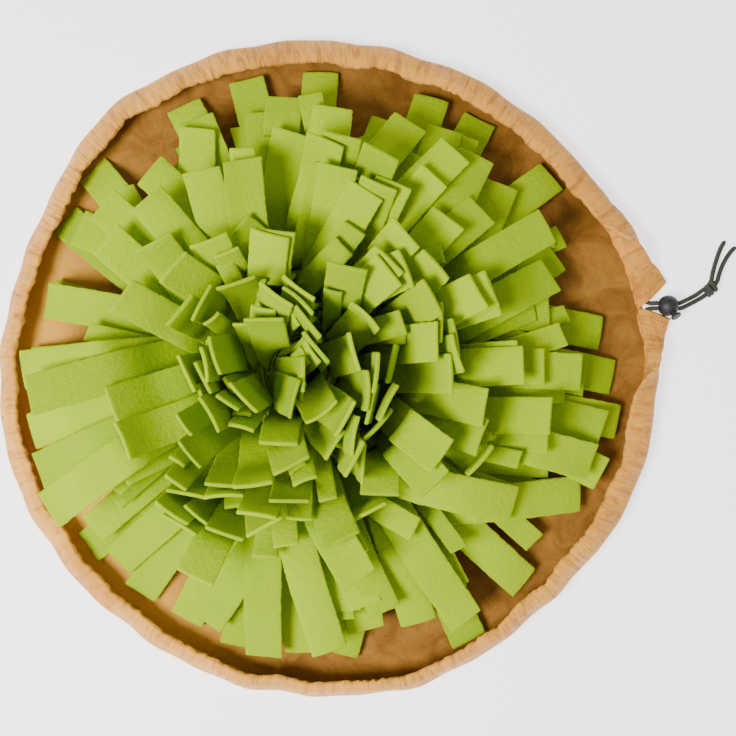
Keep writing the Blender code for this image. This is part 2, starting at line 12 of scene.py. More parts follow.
import bmesh
import bpy
import numpy as np
from mathutils import Matrix, Vector, noise


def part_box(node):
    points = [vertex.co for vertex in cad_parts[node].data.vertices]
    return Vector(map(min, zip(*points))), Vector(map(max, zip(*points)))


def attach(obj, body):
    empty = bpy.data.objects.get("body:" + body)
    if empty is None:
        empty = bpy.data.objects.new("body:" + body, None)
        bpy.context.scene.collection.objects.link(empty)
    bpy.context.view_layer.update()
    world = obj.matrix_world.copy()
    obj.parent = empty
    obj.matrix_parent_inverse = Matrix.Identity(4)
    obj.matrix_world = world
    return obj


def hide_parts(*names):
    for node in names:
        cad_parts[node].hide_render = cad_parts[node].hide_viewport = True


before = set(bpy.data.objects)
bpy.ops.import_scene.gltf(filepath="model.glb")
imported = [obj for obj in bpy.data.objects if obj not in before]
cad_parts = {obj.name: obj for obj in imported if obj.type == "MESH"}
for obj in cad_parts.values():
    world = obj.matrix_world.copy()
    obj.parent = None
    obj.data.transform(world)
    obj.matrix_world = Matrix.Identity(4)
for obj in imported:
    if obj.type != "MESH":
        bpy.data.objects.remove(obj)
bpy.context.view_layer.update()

MM = 0.001
GAP = 0.3

# Base panel and rim
PANEL_THICK = 2.0
PANEL_POINTS = 72
PANEL_MARGIN = 0.5
SEAM_INSET = 4.2
SEAM_Z = 3.4
SEAM_LEAN = 48.0
SLEEVE_WIDTH = 24.5
SLEEVE_RISE = 17.5
SLEEVE_STEPS = 40
FLAT_Z = 4.1
FLAT_LEAN = -3.0
FLAT_WIDTH = 20.0

# Rim by bearing: outermost radius of the sleeve, and how far its top edge is drawn in from there
RIM = (
    # bearing_deg, bulge_radius, crest_inset
    (11, 215.6, 16.0), (23, 213.6, 16.0), (41, 215.4, 16.4), (62, 215.2, 16.3), (84, 217.9, 16.4),
    (107, 223.3, 16.4), (120, 225.4, 16.0), (133, 228.0, 16.0), (144, 221.0, 14.5),
    (156, 217.1, 13.8), (178, 222.6, 13.3), (199, 224.6, 14.5), (219, 220.7, 15.0),
    (234, 216.2, 13.7), (250, 219.7, 12.0), (283, 221.8, 10.6), (308, 216.5, 13.0),
    (332, 215.4, 16.2), (345, 218.5, 16.6), (356, 217.4, 16.6),
)
UPPER_END = 11.3
LOWER_END = 370.65
HEM_SKEW_UPPER = 3.25
HEM_SKEW_LOWER = -2.7
HEM_CURVE = 1.15

# Drawstring, cord lock and tails
CORD_RADIUS = 1.6
CORD_AT = 0.80
CORD_AT_MOUTH = 0.25
STRAIGHT_RUN = 1.5
LOCK_CENTRE = Vector((226.3, 41.3, 7.4))
LOCK_RADIUS = 7.1
LOCK_FLAT = 5.9
CORD_SPREAD = 1.8
BUTTON_BEARING = -62.0
BUTTON_TILT = 30.0
BUTTON_FLAT = 6.3
BUTTON_BORE = 2.5
BUTTON_STEM = 2.1
BUTTON_CAP = 3.6
BUTTON_TRAVEL = 2.0
BORE_DEPTH = 4.9
CAP_THICK = 1.8
CAP_DOME = 0.1
KNOT_CENTRE = Vector((256.1, 53.2, 4.5))

# Fleece strips
STRIP_THICK = 2.0
STRIP_WIDTH = 22.5
STRIP_LENGTH = 88.0
WALL_TOP = 5.3
RING_PITCH = 6.5
RING_FIRST = 12.5
RING_COUNT = 17
RING_FILL = 0.85
HAND_RINGS = 9
PILE_PASSES = 3
PILE_SWING = 13.0
PILE_LONGER = 9
PILE_ROLL = 7.0
PILE_SPREAD = 0.07
SEED = 11
OUTER_CENTRE = Vector((-10.0, 1.0))
INNER_CENTRE = Vector((-19.0, -3.0))
CROWN = Vector((-54.0, -3.0))
ROW_AT = (0.0, 0.08, 0.32, 0.64, 1.0)
TWIST_AT = (0.0, 0.4, 0.85, 1.0, 1.0)
BOW_AT = (1.0, 0.8, 0.45, 0.3, 0.2)
BOWED_BELOW = 45.0

# How a strip of the pile is turned and shortened, in order, until it finds room
PILE_TRIES = (
    # turn_deg, share of its length
    (0, 1.0), (14, 1.0), (-14, 1.0), (28, 0.92), (-28, 0.92), (45, 0.85), (-45, 0.85), (0, 0.75),
)

# Slope of each length of a strip, in degrees, by how far out it stands
SLOPES = (
    # spread, first, second, third, last
    (0.00, 87, 86, 85, 83),
    (0.35, 84, 75, 60, 46),
    (0.70, 77, 50, 25, 9),
    (1.00, 62, 20, -8, -18),
)

# Strips that lie in sight round the edge, lowest first: middle of the tip, and the way it points
EDGE_STRIPS = (
    # tip_x, tip_y, heading_deg
    (-8, 200, 87), (-58, 193, 105), (-101, 177, 118), (-164, 135, 132), (-186, 103, 142),
    (-203, 51, 165), (-212, 1, 184), (-207, -46, 200), (-195, -70, 204), (-180, -94, 216),
    (-165, -122, 219), (-130, -152, 234), (-99, -171, 242), (-65, -191, 256), (-19, -190, 277),
    (6, -194, 256), (23, -174, 281), (92, -184, 294), (135, -151, 317), (170, -85, 4),
    (185, -74, 334), (192, -37, 349), (190, -7, 349), (181, 23, 350), (149, 74, 33),
    (148, 129, 37), (100, 168, 62), (67, 181, 72), (112, 120, 66), (20, 157, 110),
    (57, -166, 287), (-14, 161, 88), (-46, 167, 98), (-95, 153, 120), (-150, 93, 140),
    (-188, 44, 170), (-194, -2, 187), (-188, -19, 197), (-164, -34, 199), (-156, -57, 201),
    (-144, -130, 221), (-82, -167, 236), (-44, -189, 269), (0, -187, 286), (35, -156, 302),
    (87, -164, 303), (135, -93, 347), (178, -40, 346), (170, -62, 345), (166, -7, 348),
    (142, 35, 358), (137, 89, 30), (145, 61, 28), (75, 156, 70), (94, 136, 64),
    (51, 157, 52), (-114, 113, 131), (153, -12, 0), (44, -126, 298),
)

# Strips that stand edge on at the crown, where the pile parts
CROWN_STRIPS = (
    # ring, bearing_deg
    (3, 160), (3, 203), (4, 175), (4, 211), (5, 165), (5, 196), (6, 178), (6, 205), (7, 168),
    (7, 192), (8, 180), (8, 201),
)

# Sizes of the finer forms that this script adds, in millimetres
CLOTH_THICK = 1.0
RIM_LOWEST = 0.95
RIM_STEP = 1.6
HEM_STEP = 0.7
HEM_WIDTH = 3.7
HEM_RISE = 0.35
HEM_CLOSER = (0.3, 0.05)
GATHER_PITCH = 7.5
SCALLOP_PITCH = 15.0
PILE_THICK = 2.5
PILE_STEP = 2.6
BRAID_STEP = 0.4
BRAID_SIDES = 28
STITCH_LENGTH = 2.1
STITCH_RADIUS = 0.24
STITCH_SIDES = 8
STITCH_EVERY = 2.7

# Camera: straight above the middle of the photo's frame
PHOTO_PIXELS = 736
MM_PER_PIXEL = 0.682
MAT_CENTRE_PIXEL = (333, 367)
EYE_HEIGHT = 660.0
SENSOR = 36.0

# Rim finish
MEAN_RADIUS = 215.0
GATHER_DEPTH = 0.7
DENT_DEPTH = 0.35
SCALLOP_DEPTH = 0.9
CHANNEL_HALF = 3.3
CHANNEL_AT_MOUTH = 5.5
PLY_HALVES = (
    # share of the way from the seam to the cord, half the way between the two plies
    (0.0, 0.9), (0.25, 1.1), (0.53, 2.2),
)
WELT_INSET = 0.6
WELT_WAVE = 0.45
WELT_WIDTH = 3.9
WELT_HIGH = 2.0
WELT_Z = 2.65

# How far the outline lies outside the solid's, by bearing, and inside it where negative
RIM_TRIM = (
    # bearing_deg, trim
    (0, -4.5), (2.5, -9.6), (5, -8.6), (7, -6.8), (10.7, -1.5), (10.9, 2.0), (13.4, -0.5),
    (16.5, -3.8), (18.5, -3.2), (20.5, -0.8), (22.5, 4.4), (25.5, 6.8), (28, 4.8), (30.5, 0.4),
    (34, -0.8), (48, -2.2),
    (60, -1.2), (78, -2.2), (108, -1.5), (132, 0.0), (160, 0.0), (171, -2.0), (186, -1.0),
    (204, 0.0), (214, 0.5), (228, 2.4), (234, 3.0), (243, 1.3), (256, 0.0), (264, -2.6),
    (288, -2.5), (306, -3.8), (318, -3.6), (325, -0.2), (339, 1.2), (343, 0.0), (348, -1.4),
    (356, -1.8),
)

# Fleece finish
LOOK_SEED = 4
LOW_STRIP = 12.0
WALL_THICK = 5.4
WIDEN = 1.07
LONGEST_DRAW = 16.0
CUP = (-1.3, 1.0)
CURL = (-2.5, 2.5)
LOW_CURL = (0.0, 2.0)
WAVE = 0.7
LOW_WAVE = 0.4
WAVE_RUN = (5.0, 9.0)
SKEW = 1.3
STRIP_TOP = (
    # share of half the width, share of half the thickness
    (-1.0, 0.4), (-0.975, 0.86), (-0.92, 1.0), (-0.6, 1.0), (-0.3, 1.0), (0.0, 1.0), (0.3, 1.0),
    (0.6, 1.0), (0.92, 1.0), (0.975, 0.86), (1.0, 0.4),
)
STRIP_SECTION = STRIP_TOP + tuple((u, -v) for u, v in reversed(STRIP_TOP))

# Narrower strips that fill the gaps of the pile, which the solids leave out
FILL_PITCH = 6.5
FILL_FOOT = 1.5
FILL_SWING = 14.0
FILL_SHORTER = 16
FILL_SLOPES = (0, 7, -7, 14, -14, 22, -22, 32)
FILL_TRIES = (
    # width, share of the length, turn_deg
    (20.0, 1.0, 25.0), (15.0, 0.92, 25.0), (11.0, 0.85, 30.0),
)

# Cords, knot and lock finish
CORD_HOLE = 1.9
BRAID_TAPER = 1.4
BRAID_LAY = 9.0
BRAID_STRANDS = 4
BRAID_RELIEF = 0.07
UPPER_LEAD = ((236.4, 44.1, 6.9), (241.6, 46.5, 5.4), (246.4, 49.0, 4.4), (249.9, 51.6, 4.2))
UPPER_IN_KNOT = ((253.4, 54.0, 4.4),)
UPPER_TAIL = ((256.3, 58.3, 4.3), (257.4, 62.6, 3.6), (259.2, 68.6, 2.7), (261.4, 75.0, 2.1),
              (263.6, 80.6, 1.9), (266.5, 85.7, 1.8))
LOWER_LEAD = ((236.6, 40.2, 6.7), (242.2, 42.8, 5.0), (247.6, 45.6, 4.0), (251.4, 47.9, 3.9))
LOWER_IN_KNOT = ((256.4, 52.4, 4.3),)
LOWER_TAIL = ((260.3, 57.9, 4.3), (261.8, 62.0, 3.5), (264.0, 67.6, 2.6), (267.0, 73.2, 2.0),
              (270.4, 78.2, 1.9), (273.9, 81.6, 1.8))
KNOT_WRAP_BEARING = 40.0
KNOT_TURNS = 3.1
KNOT_PHASE = 0.6
KNOT_SPACING = ((0.0, 0.18, 0.5, 0.62, 0.82, 1.0), (-3.4, -3.1, -0.7, 1.4, 2.8, 3.2))
KNOT_WIDE = 2.9
KNOT_HIGH = 2.4
KNOT_CORD = 1.55

# Colours
FLEECE_DEEP = (0.30, 0.45, 0.0)
FLEECE_LIGHT = (0.41, 0.58, 0.0)
PANEL_DEEP = (0.17, 0.070, 0.009)
PANEL_LIGHT = (0.37, 0.170, 0.026)
# Painted light: the base cloth's colour on its side towards the lamp
PANEL_PAINTED_LIT = (0.85, 0.43, 0.06)
CASING_DEEP = (0.76, 0.32, 0.032)
CASING_LIGHT = (0.96, 0.44, 0.055)
WELT_LIGHT = (0.88, 0.30, 0.025)
THREAD_DEEP = (0.16, 0.05, 0.006)
THREAD_LIGHT = (0.34, 0.13, 0.018)
CORD_DEEP = (0.012, 0.014, 0.008)
CORD_LIGHT = (0.052, 0.056, 0.036)
LOCK_DEEP = (0.010, 0.010, 0.012)
LOCK_LIGHT = (0.022, 0.022, 0.025)
FLOOR_DEEP = (0.88, 0.88, 0.88)
FLOOR_LIGHT = (0.90, 0.90, 0.90)
WHITE = (1.0, 1.0, 1.0)
WEAVE_SCALE = 0.8
WEAVE_DEPTH = 0.12
SHEEN_ROUGHNESS = 0.5
# Stretch of the gathers' noise, which gives both their relief and the painted shade in their
# valleys
GATHER_CREASES = (0.20, 0.05, 0.0)

# Painted light on the base cloth: its colour turns to the lit colour towards the lamp's side, from
# where its place along this direction passes the start to where it reaches the full share
PAINTED_LIGHT_TOWARD = (-0.96, -0.28, 0.0)
PAINTED_LIGHT_START = 0.09
PAINTED_LIGHT_FULL = 0.20

# Light, in metres and watts
SKY_STRENGTH = 0.6
FLOOR_HALF = 8.0
FLOOR_GLOW = 1.6
FLOOR_DROP = 0.0002
LAMPS = (
    # name, place, size, power, colour
    ("window", (-0.54, -0.30, 0.98), 0.45, 23.0, (1.0, 0.98, 0.95)),
)


# The same shapes and the same laying of strips as the part's own source

def smoothstep(low, high, value):
    t = np.clip((value - low) / (high - low), 0.0, 1.0)
    return t * t * (3 - 2 * t)


def unit(bearing):
    return Vector((math.cos(math.radians(bearing)), math.sin(math.radians(bearing))))


def bearing_of(arrow):
    return math.degrees(math.atan2(arrow.y, arrow.x))


def lengths_along(points):
    return np.concatenate([[0.0], np.cumsum(np.linalg.norm(np.diff(points, axis=0), axis=1))])


def ringed(radius, turn, *height):
    return np.stack([radius * np.cos(turn), radius * np.sin(turn), *height], axis=1)


def read_at(wanted, along, points):
    return np.stack([np.interp(wanted, along, points[:, axis]) for axis in range(3)], axis=1)


def unit_rows(arrows):
    return arrows / np.linalg.norm(arrows, axis=1)[:, None]


def smooth_route(route, spacing):
    """Evenly spaced points on a Catmull-Rom curve through the route's own points."""
    knots = [Vector(p) for p in route]
    knots = [2 * knots[0] - knots[1]] + knots + [2 * knots[-1] - knots[-2]]
    dense = []
    for a, b, c, d in zip(knots, knots[1:], knots[2:], knots[3:]):
        for step in range(24):
            t = step / 24
            dense.append(0.5 * (2 * b + (c - a) * t + (2 * a - 5 * b + 4 * c - d) * t * t
                                + (3 * b - a - 3 * c + d) * t ** 3))
    dense.append(knots[-2])
    dense = np.array(dense)
    along = lengths_along(dense)
    count = max(4, round(along[-1] / spacing) + 1)
    return read_at(np.linspace(0.0, along[-1], count), along, dense)


def rim_at(bearings):
    """Bulge radius and crest inset at each bearing, with the table's corners rounded off."""
    table = np.array(RIM)
    spread = np.linspace(-6.0, 6.0, 7)
    weight = np.exp(-(spread / 3.5) ** 2)
    weight /= weight.sum()
    bulge = np.zeros(len(bearings))
    inset = np.zeros(len(bearings))
    for offset, share in zip(spread, weight):
        bulge += share * np.interp(bearings + offset, table[:, 0], table[:, 1], period=360)
        inset += share * np.interp(bearings + offset, table[:, 0], table[:, 2], period=360)
    turn = np.radians(bearings)
    bulge += 0.6 * np.sin(23 * turn + 0.7) + 0.4 * np.sin(37 * turn)
    inset += 0.5 * np.sin(29 * turn + 1.9)
    return bulge, inset


def seam_radius(bearings):
    return rim_at(bearings)[0] - SEAM_INSET


def sleeve_stations():
    """Bearings of the sleeve's sections, closer together where it lies flat at the opening."""
    return np.concatenate([np.linspace(UPPER_END, 28.5, 11), np.linspace(33.0, 345.0, 50),
                           np.linspace(349.5, LOWER_END, 15)])


def flatness(stations):
    """1 where the sleeve lies flat by the opening, 0 where it stands and is drawn in."""
    return (1 - smoothstep(3.0, 17.0, stations - UPPER_END)
            + 1 - smoothstep(3.0, 18.0, LOWER_END - stations))


def sleeve_sections(stations):
    """Radius, height and lean of the sleeve's middle line, in even steps from seam to crest."""
    bulge, inset = rim_at(stations)
    flat = flatness(stations)[:, None]
    top_lean = 180.0 - np.degrees(np.arccos(inset / SLEEVE_RISE))[:, None]
    share = np.linspace(0.0, 1.0, SLEEVE_STEPS + 1)
    upright = SEAM_LEAN + (top_lean - SEAM_LEAN) * smoothstep(0.12, 0.5, share)
    lean = np.radians(upright * (1 - flat) + FLAT_LEAN * flat)
    scrunched = 1 - 0.8 * flat * (1 - flat)
    step = (SLEEVE_WIDTH * (1 - flat) + FLAT_WIDTH * flat) * scrunched / SLEEVE_STEPS
    between = (lean[:, 1:] + lean[:, :-1]) / 2
    out = np.cumsum(np.cos(between) * step, axis=1)
    up = np.cumsum(np.sin(between) * step, axis=1)
    start = np.zeros((len(stations), 1))
    radius = (bulge - SEAM_INSET)[:, None] + np.concatenate([start, out], axis=1)
    height = SEAM_Z * (1 - flat) + FLAT_Z * flat + np.concatenate([start, up], axis=1)
    return radius, height, lean


def sleeve_point(stations, share, lift):
    """Points at one share of the sleeve's width, lifted off its middle line by lift."""
    steps = np.linspace(0.0, 1.0, SLEEVE_STEPS + 1)
    radius, height, lean = (
        np.array([np.interp(at, steps, line) for at, line in zip(share, grid)])
        for grid in sleeve_sections(stations))
    radius = radius - lift * np.sin(lean)
    height = height + lift * np.cos(lean)
    skew = (HEM_SKEW_UPPER * (1 - smoothstep(0.0, 10.0, stations - UPPER_END))
            + HEM_SKEW_LOWER * (1 - smoothstep(0.0, 9.0, LOWER_END - stations)))
    return ringed(radius, np.radians(stations + skew * share ** HEM_CURVE), height)


def cord_share(stations):
    """Where the drawstring lies across the sleeve: by the crest, and by the seam at the mouths."""
    near_mouth = (1 - smoothstep(2.0, 32.0, stations - UPPER_END)
                  + 1 - smoothstep(2.0, 32.0, LOWER_END - stations))
    return CORD_AT + (CORD_AT_MOUTH - CORD_AT) * near_mouth


def button_axis():
    flat = unit(BUTTON_BEARING) * math.cos(math.radians(BUTTON_TILT))
    return Vector((flat.x, flat.y, math.sin(math.radians(BUTTON_TILT))))


class Heights:
    """For each cell of a plan grid, the lowest height that the middle of a strip may take."""

    CELL = 1.0
    HALF = 236.0
    REACH = 2.9

    def __init__(self):
        count = int(2 * self.HALF / self.CELL)
        self.low = np.full((count, count), PANEL_THICK + GAP + STRIP_THICK / 2 + 0.05)
        steps = int(self.REACH / self.CELL) + 1
        self.ball = []
        for i in range(-steps, steps + 1):
            for j in range(-steps, steps + 1):
                off = math.hypot(i, j) * self.CELL
                if off < self.REACH:
                    self.ball.append((i, j, math.sqrt(self.REACH ** 2 - off ** 2)))

    def cells(self, points):
        index = ((points[:, :2] + self.HALF) / self.CELL).astype(int)
        return index[:, 0], index[:, 1]

    def add(self, points):
        x, y = self.cells(points)
        for i, j, rise in self.ball:
            np.maximum.at(self.low, (x + i, y + j), points[:, 2] + rise)

    def room(self, points):
        """Smallest height of any of the points over what lies below it."""
        x, y = self.cells(points)
        return float((points[:, 2] - self.low[x, y]).min())


def samples(row_a, row_b):
    """Points about 1 mm apart all over the cloth between two rows of a strip."""
    found = []
    for a0, a1, b0, b1 in zip(row_a, row_a[1:], row_b, row_b[1:]):
        across = int(np.linalg.norm(a1 - a0) / Heights.CELL) + 2
        along = int(np.linalg.norm(b0 - a0) / Heights.CELL) + 2
        u = np.linspace(0, 1, across)[:, None, None]
        v = np.linspace(0, 1, along)[None, :, None]
        patch = (a0 * (1 - u) + a1 * u) * (1 - v) + (b0 * (1 - u) + b1 * u) * v
        found.append(patch.reshape(-1, 3))
    return np.concatenate(found)


def ring_radius(ring):
    return RING_FIRST + RING_PITCH * ring


def ring_centre(ring):
    return INNER_CENTRE.lerp(OUTER_CENTRE, ring / (RING_COUNT - 1))


def wall_point(ring, bearing, z):
    place = ring_centre(ring) + unit(bearing) * ring_radius(ring)
    return np.array((place.x, place.y, z))


def half_angle(ring, width):
    return math.degrees(math.asin(width / 2 / ring_radius(ring)))


def root_row(ring, bearing, width):
    """The strip's row on top of its ring's wall, with a middle point where the ring is tight."""
    half = half_angle(ring, width)
    turns = (-half, 0, half) if ring_radius(ring) < BOWED_BELOW else (-half, half)
    return [wall_point(ring, bearing + turn, WALL_TOP) for turn in turns]


def wrap(angle, half_turn):
    return (angle + half_turn) % (2 * half_turn) - half_turn


def next_tip(centre, ahead, run, slope):
    rise = math.radians(slope)
    flat = ahead * math.cos(rise)
    return centre + run * np.array((flat.x, flat.y, math.sin(rise)))


def lay_strip(heights, ring, bearing, heading, length, width, slopes, roll):
    """Rows of points up a strip. Each length leans as its slope says, or rests on what is below."""
    rows = [root_row(ring, bearing, width)]
    radial = unit(bearing)
    place = ring_centre(ring) + radial * (ring_radius(ring) * math.cos(
        math.radians(half_angle(ring, width))))
    centre = np.array((place.x, place.y, WALL_TOP))
    sagitta = ring_radius(ring) - math.hypot(*(place - ring_centre(ring)))
    ahead = unit(heading)
    turn = wrap(heading - bearing, 90.0)
    last_slope = 85.0
    for k in range(1, len(ROW_AT)):
        run = (ROW_AT[k] - ROW_AT[k - 1]) * length
        side = unit(bearing + 90.0 + turn * TWIST_AT[k])
        tilt = math.radians(roll * min(1.0, (k - 1) / 3))
        across = np.array((side.x * math.cos(tilt), side.y * math.cos(tilt), math.sin(tilt)))
        slope = max(slopes[k - 1], last_slope - 48.0)
        while slope <= 100.0:
            tip = next_tip(centre, ahead, run, slope)
            row = [tip - across * width / 2, tip + across * width / 2]
            if len(rows[0]) == 3:
                bow = radial * sagitta * BOW_AT[k]
                row.insert(1, tip + np.array((bow.x, bow.y, 0.0)))
            if k == 1 or heights.room(samples(rows[-1], row)) >= 0.0:
                break
            slope += 2.5
        else:
            return None
        rows.append(row)
        centre = tip
        last_slope = slope
    if heights.room(np.array(rows[1])) < -1.0:
        return None
    return rows


def slopes_at(spread):
    table = np.array(SLOPES, dtype=float)
    return [np.interp(spread, table[:, 0], table[:, column]) for column in range(1, len(ROW_AT))]


def free_on_ring(taken, bearing, half):
    return all(abs(wrap(bearing - other, 180.0)) > half + other_half + 1.0
               for other, other_half in taken)


def free_bearings(taken, half, dice):
    """Bearings for more strips on a ring, spread over the room that its strips leave."""
    pitch = 2 * half / RING_FILL
    if not taken:
        count = min(round(360.0 / pitch), int(360.0 / (2 * half + 1.0)))
        first = dice.uniform(0.0, 360.0)
        slack = max(0.0, 180.0 / count - half - 1.0)
        return [first + 360.0 * index / count + dice.uniform(-slack, slack) * 0.7
                for index in range(count)]
    found = []
    taken = sorted(taken)
    for (before, before_half), (after, after_half) in zip(taken, taken[1:] + taken[:1]):
        low = before + before_half + half + 1.0
        clear = (after - before) % 360.0 or 360.0
        room = clear - before_half - after_half - 2 * half - 2.0
        if room < 0.0:
            continue
        count = int(room / pitch) + 1
        if count == 1:
            found.append(low + room / 2)
        else:
            found += [low + room * index / (count - 1) for index in range(count)]
    return found


def inside_rim(rows):
    """True where no row of a strip comes against the sleeve."""
    points = np.concatenate(rows)
    radius = np.hypot(points[:, 0], points[:, 1])
    bulge, inset = rim_at(np.degrees(np.arctan2(points[:, 1], points[:, 0])))
    limit = np.where(points[:, 2] < 7.5, bulge - SEAM_INSET - 3.0, bulge - inset - 5.5)
    return bool((radius < limit).all())


def add_strip(heights, ring_strips, ring, bearing, rows, half):
    for row_a, row_b in zip(rows, rows[1:]):
        heights.add(samples(row_a, row_b))
    ring_strips[ring].append((bearing % 360.0, half, rows))


def lay_edge_strips(heights, ring_strips, dice):
    """Strips round the edge, each rooted where a line back from its tip meets its ring."""
    for tip_x, tip_y, heading in EDGE_STRIPS:
        ahead = unit(heading)
        width = STRIP_WIDTH + dice.uniform(-0.6, 0.6)
        for ring in range(RING_COUNT - 1, RING_COUNT - 1 - HAND_RINGS, -1):
            back = Vector((tip_x, tip_y)) - ring_centre(ring)
            along = back.dot(ahead)
            inside = along ** 2 - back.length_squared + ring_radius(ring) ** 2
            if inside <= 0:
                continue
            run = along - math.sqrt(inside)
            root = back - ahead * run
            bearing = bearing_of(root)
            half = half_angle(ring, width)
            taken = [(b, h) for b, h, _ in ring_strips[ring]]
            if not free_on_ring(taken, bearing, half):
                continue
            for shorten in (1.0, 0.95, 0.9, 0.85, 0.8):
                rows = lay_strip(heights, ring, bearing, heading, (run + 7.0) * shorten, width,
                                 slopes_at(1.0), 0.0)
                if rows and inside_rim(rows):
                    break
            if rows and inside_rim(rows):
                add_strip(heights, ring_strips, ring, bearing, rows, half)
                break


def lay_pile_strips(heights, ring_strips, dice):
    """The rest of the pile, laid from the edge in, leaning away from the crown."""
    queue = []
    for ring in range(RING_COUNT):
        spread = ring / (RING_COUNT - 1)
        focus = CROWN.lerp(ring_centre(ring), spread ** 1.6)
        half = half_angle(ring, STRIP_WIDTH)
        taken = [(bearing, half) for bearing, half, _ in ring_strips[ring]]
        for place, bearing in CROWN_STRIPS:
            if place == ring and free_on_ring(taken, bearing, half):
                taken.append((bearing, half))
                queue.append((0.0, ring, bearing, bearing + dice.gauss(0.0, 5.0),
                              STRIP_LENGTH + dice.uniform(-6, 3), 0.0, 0.0))
        for bearing in free_bearings(taken, half, dice):
            root = wall_point(ring, bearing, 0.0)
            away = Vector((root[0], root[1])) - focus
            heading = bearing_of(away) + dice.gauss(0.0, PILE_SWING)
            queue.append((away.length, ring, bearing, heading,
                          STRIP_LENGTH + dice.uniform(-PILE_LONGER, PILE_LONGER),
                          dice.uniform(-PILE_ROLL, PILE_ROLL),
                          dice.uniform(-PILE_SPREAD, PILE_SPREAD)))
    queue.sort(key=lambda strip: -strip[0])
    for away, ring, bearing, heading, length, roll, change in queue:
        half = half_angle(ring, STRIP_WIDTH)
        slopes = slopes_at(min(1.0, max(0.0, away / ring_radius(RING_COUNT - 1) + change)))
        for turn, shorten in PILE_TRIES:
            rows = lay_strip(heights, ring, bearing, heading + turn, length * shorten, STRIP_WIDTH,
                             slopes, roll)
            if rows and inside_rim(rows):
                add_strip(heights, ring_strips, ring, bearing, rows, half)
                break


def add_walls(heights):
    for ring in range(RING_COUNT):
        turns = np.arange(0.0, 360.0, 70.0 / ring_radius(ring))
        heights.add(np.array([wall_point(ring, turn, WALL_TOP) for turn in turns]))


# Placing

def outline_shift():
    """From the panel's own place in millimetres to its node's place in the frame."""
    edge = panel_edge(np.arange(PANEL_POINTS) * 360.0 / PANEL_POINTS)
    low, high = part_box("base_panel")
    middle = (edge.min(axis=0) + edge.max(axis=0)) / 2 * MM
    return Vector(((low.x + high.x) / 2 - middle[0], (low.y + high.y) / 2 - middle[1], low.z))


def panel_edge(bearings):
    return ringed(seam_radius(bearings) + PANEL_MARGIN, np.radians(bearings))


def placed(points):
    """Points in millimetres about the mat's middle, as metres in the frame."""
    return np.asarray(points, dtype=float) * MM + np.array(SHIFT)


def linked(name, data):
    obj = bpy.data.objects.new(name, data)
    bpy.context.scene.collection.objects.link(obj)
    return obj


def make_piece(name, points, faces, material, uv=None, tone=None):
    """A mesh piece in the frame, with smooth shading and, where given, UVs in millimetres."""
    mesh = bpy.data.meshes.new(name)
    mesh.from_pydata(placed(points).tolist(), [], faces)
    mesh.materials.append(material)
    mesh.shade_smooth()
    if uv is not None:
        layer = mesh.uv_layers.new(name="cloth")
        corners = np.empty(len(mesh.loops), dtype=int)
        mesh.loops.foreach_get("vertex_index", corners)
        layer.data.foreach_set("uv", np.asarray(uv, dtype=np.float32)[corners].ravel())
    if tone is not None:
        shade = mesh.attributes.new("tone", "FLOAT", "POINT")
        shade.data.foreach_set("value", np.asarray(tone, dtype=np.float32))
    return linked(name, mesh)


def loop_faces(rows, around, closed_row=True, closed_sweep=False):
    """Quads of a sweep whose points run row after row, each row a loop of the same count."""
    faces = []
    for r in range(rows if closed_sweep else rows - 1):
        following = (r + 1) % rows
        for k in range(around if closed_row else around - 1):
            j = (k + 1) % around
            faces.append((r * around + k, r * around + j, following * around + j,
                          following * around + k))
    return faces


def capped_faces(rows, around, first=0):
    """Faces of an open sweep that starts at the given point, closed at both ends."""
    faces = [tuple(first + corner for corner in face) for face in loop_faces(rows, around)]
    last = first + (rows - 1) * around
    return faces + [tuple(range(first, first + around))[::-1], tuple(range(last, last + around))]


def applied(obj):
    """The object with its modifiers made part of its mesh."""
    graph = bpy.context.evaluated_depsgraph_get()
    mesh = bpy.data.meshes.new_from_object(obj.evaluated_get(graph))
    obj.modifiers.clear()
    old = obj.data
    obj.data = mesh
    bpy.data.meshes.remove(old)
    return obj


def waves(turn, pitches, seed):
    """A smooth uneven line round the rim, about -1 to 1, from waves of the given pitches in mm."""
    dice = random.Random(seed)
    total = np.zeros(len(turn))
    for pitch in pitches:
        count = round(2 * math.pi * MEAN_RADIUS / pitch)
        total += np.sin(count * turn + dice.uniform(0.0, 2 * math.pi))
    return total / math.sqrt(len(pitches))


# Materials

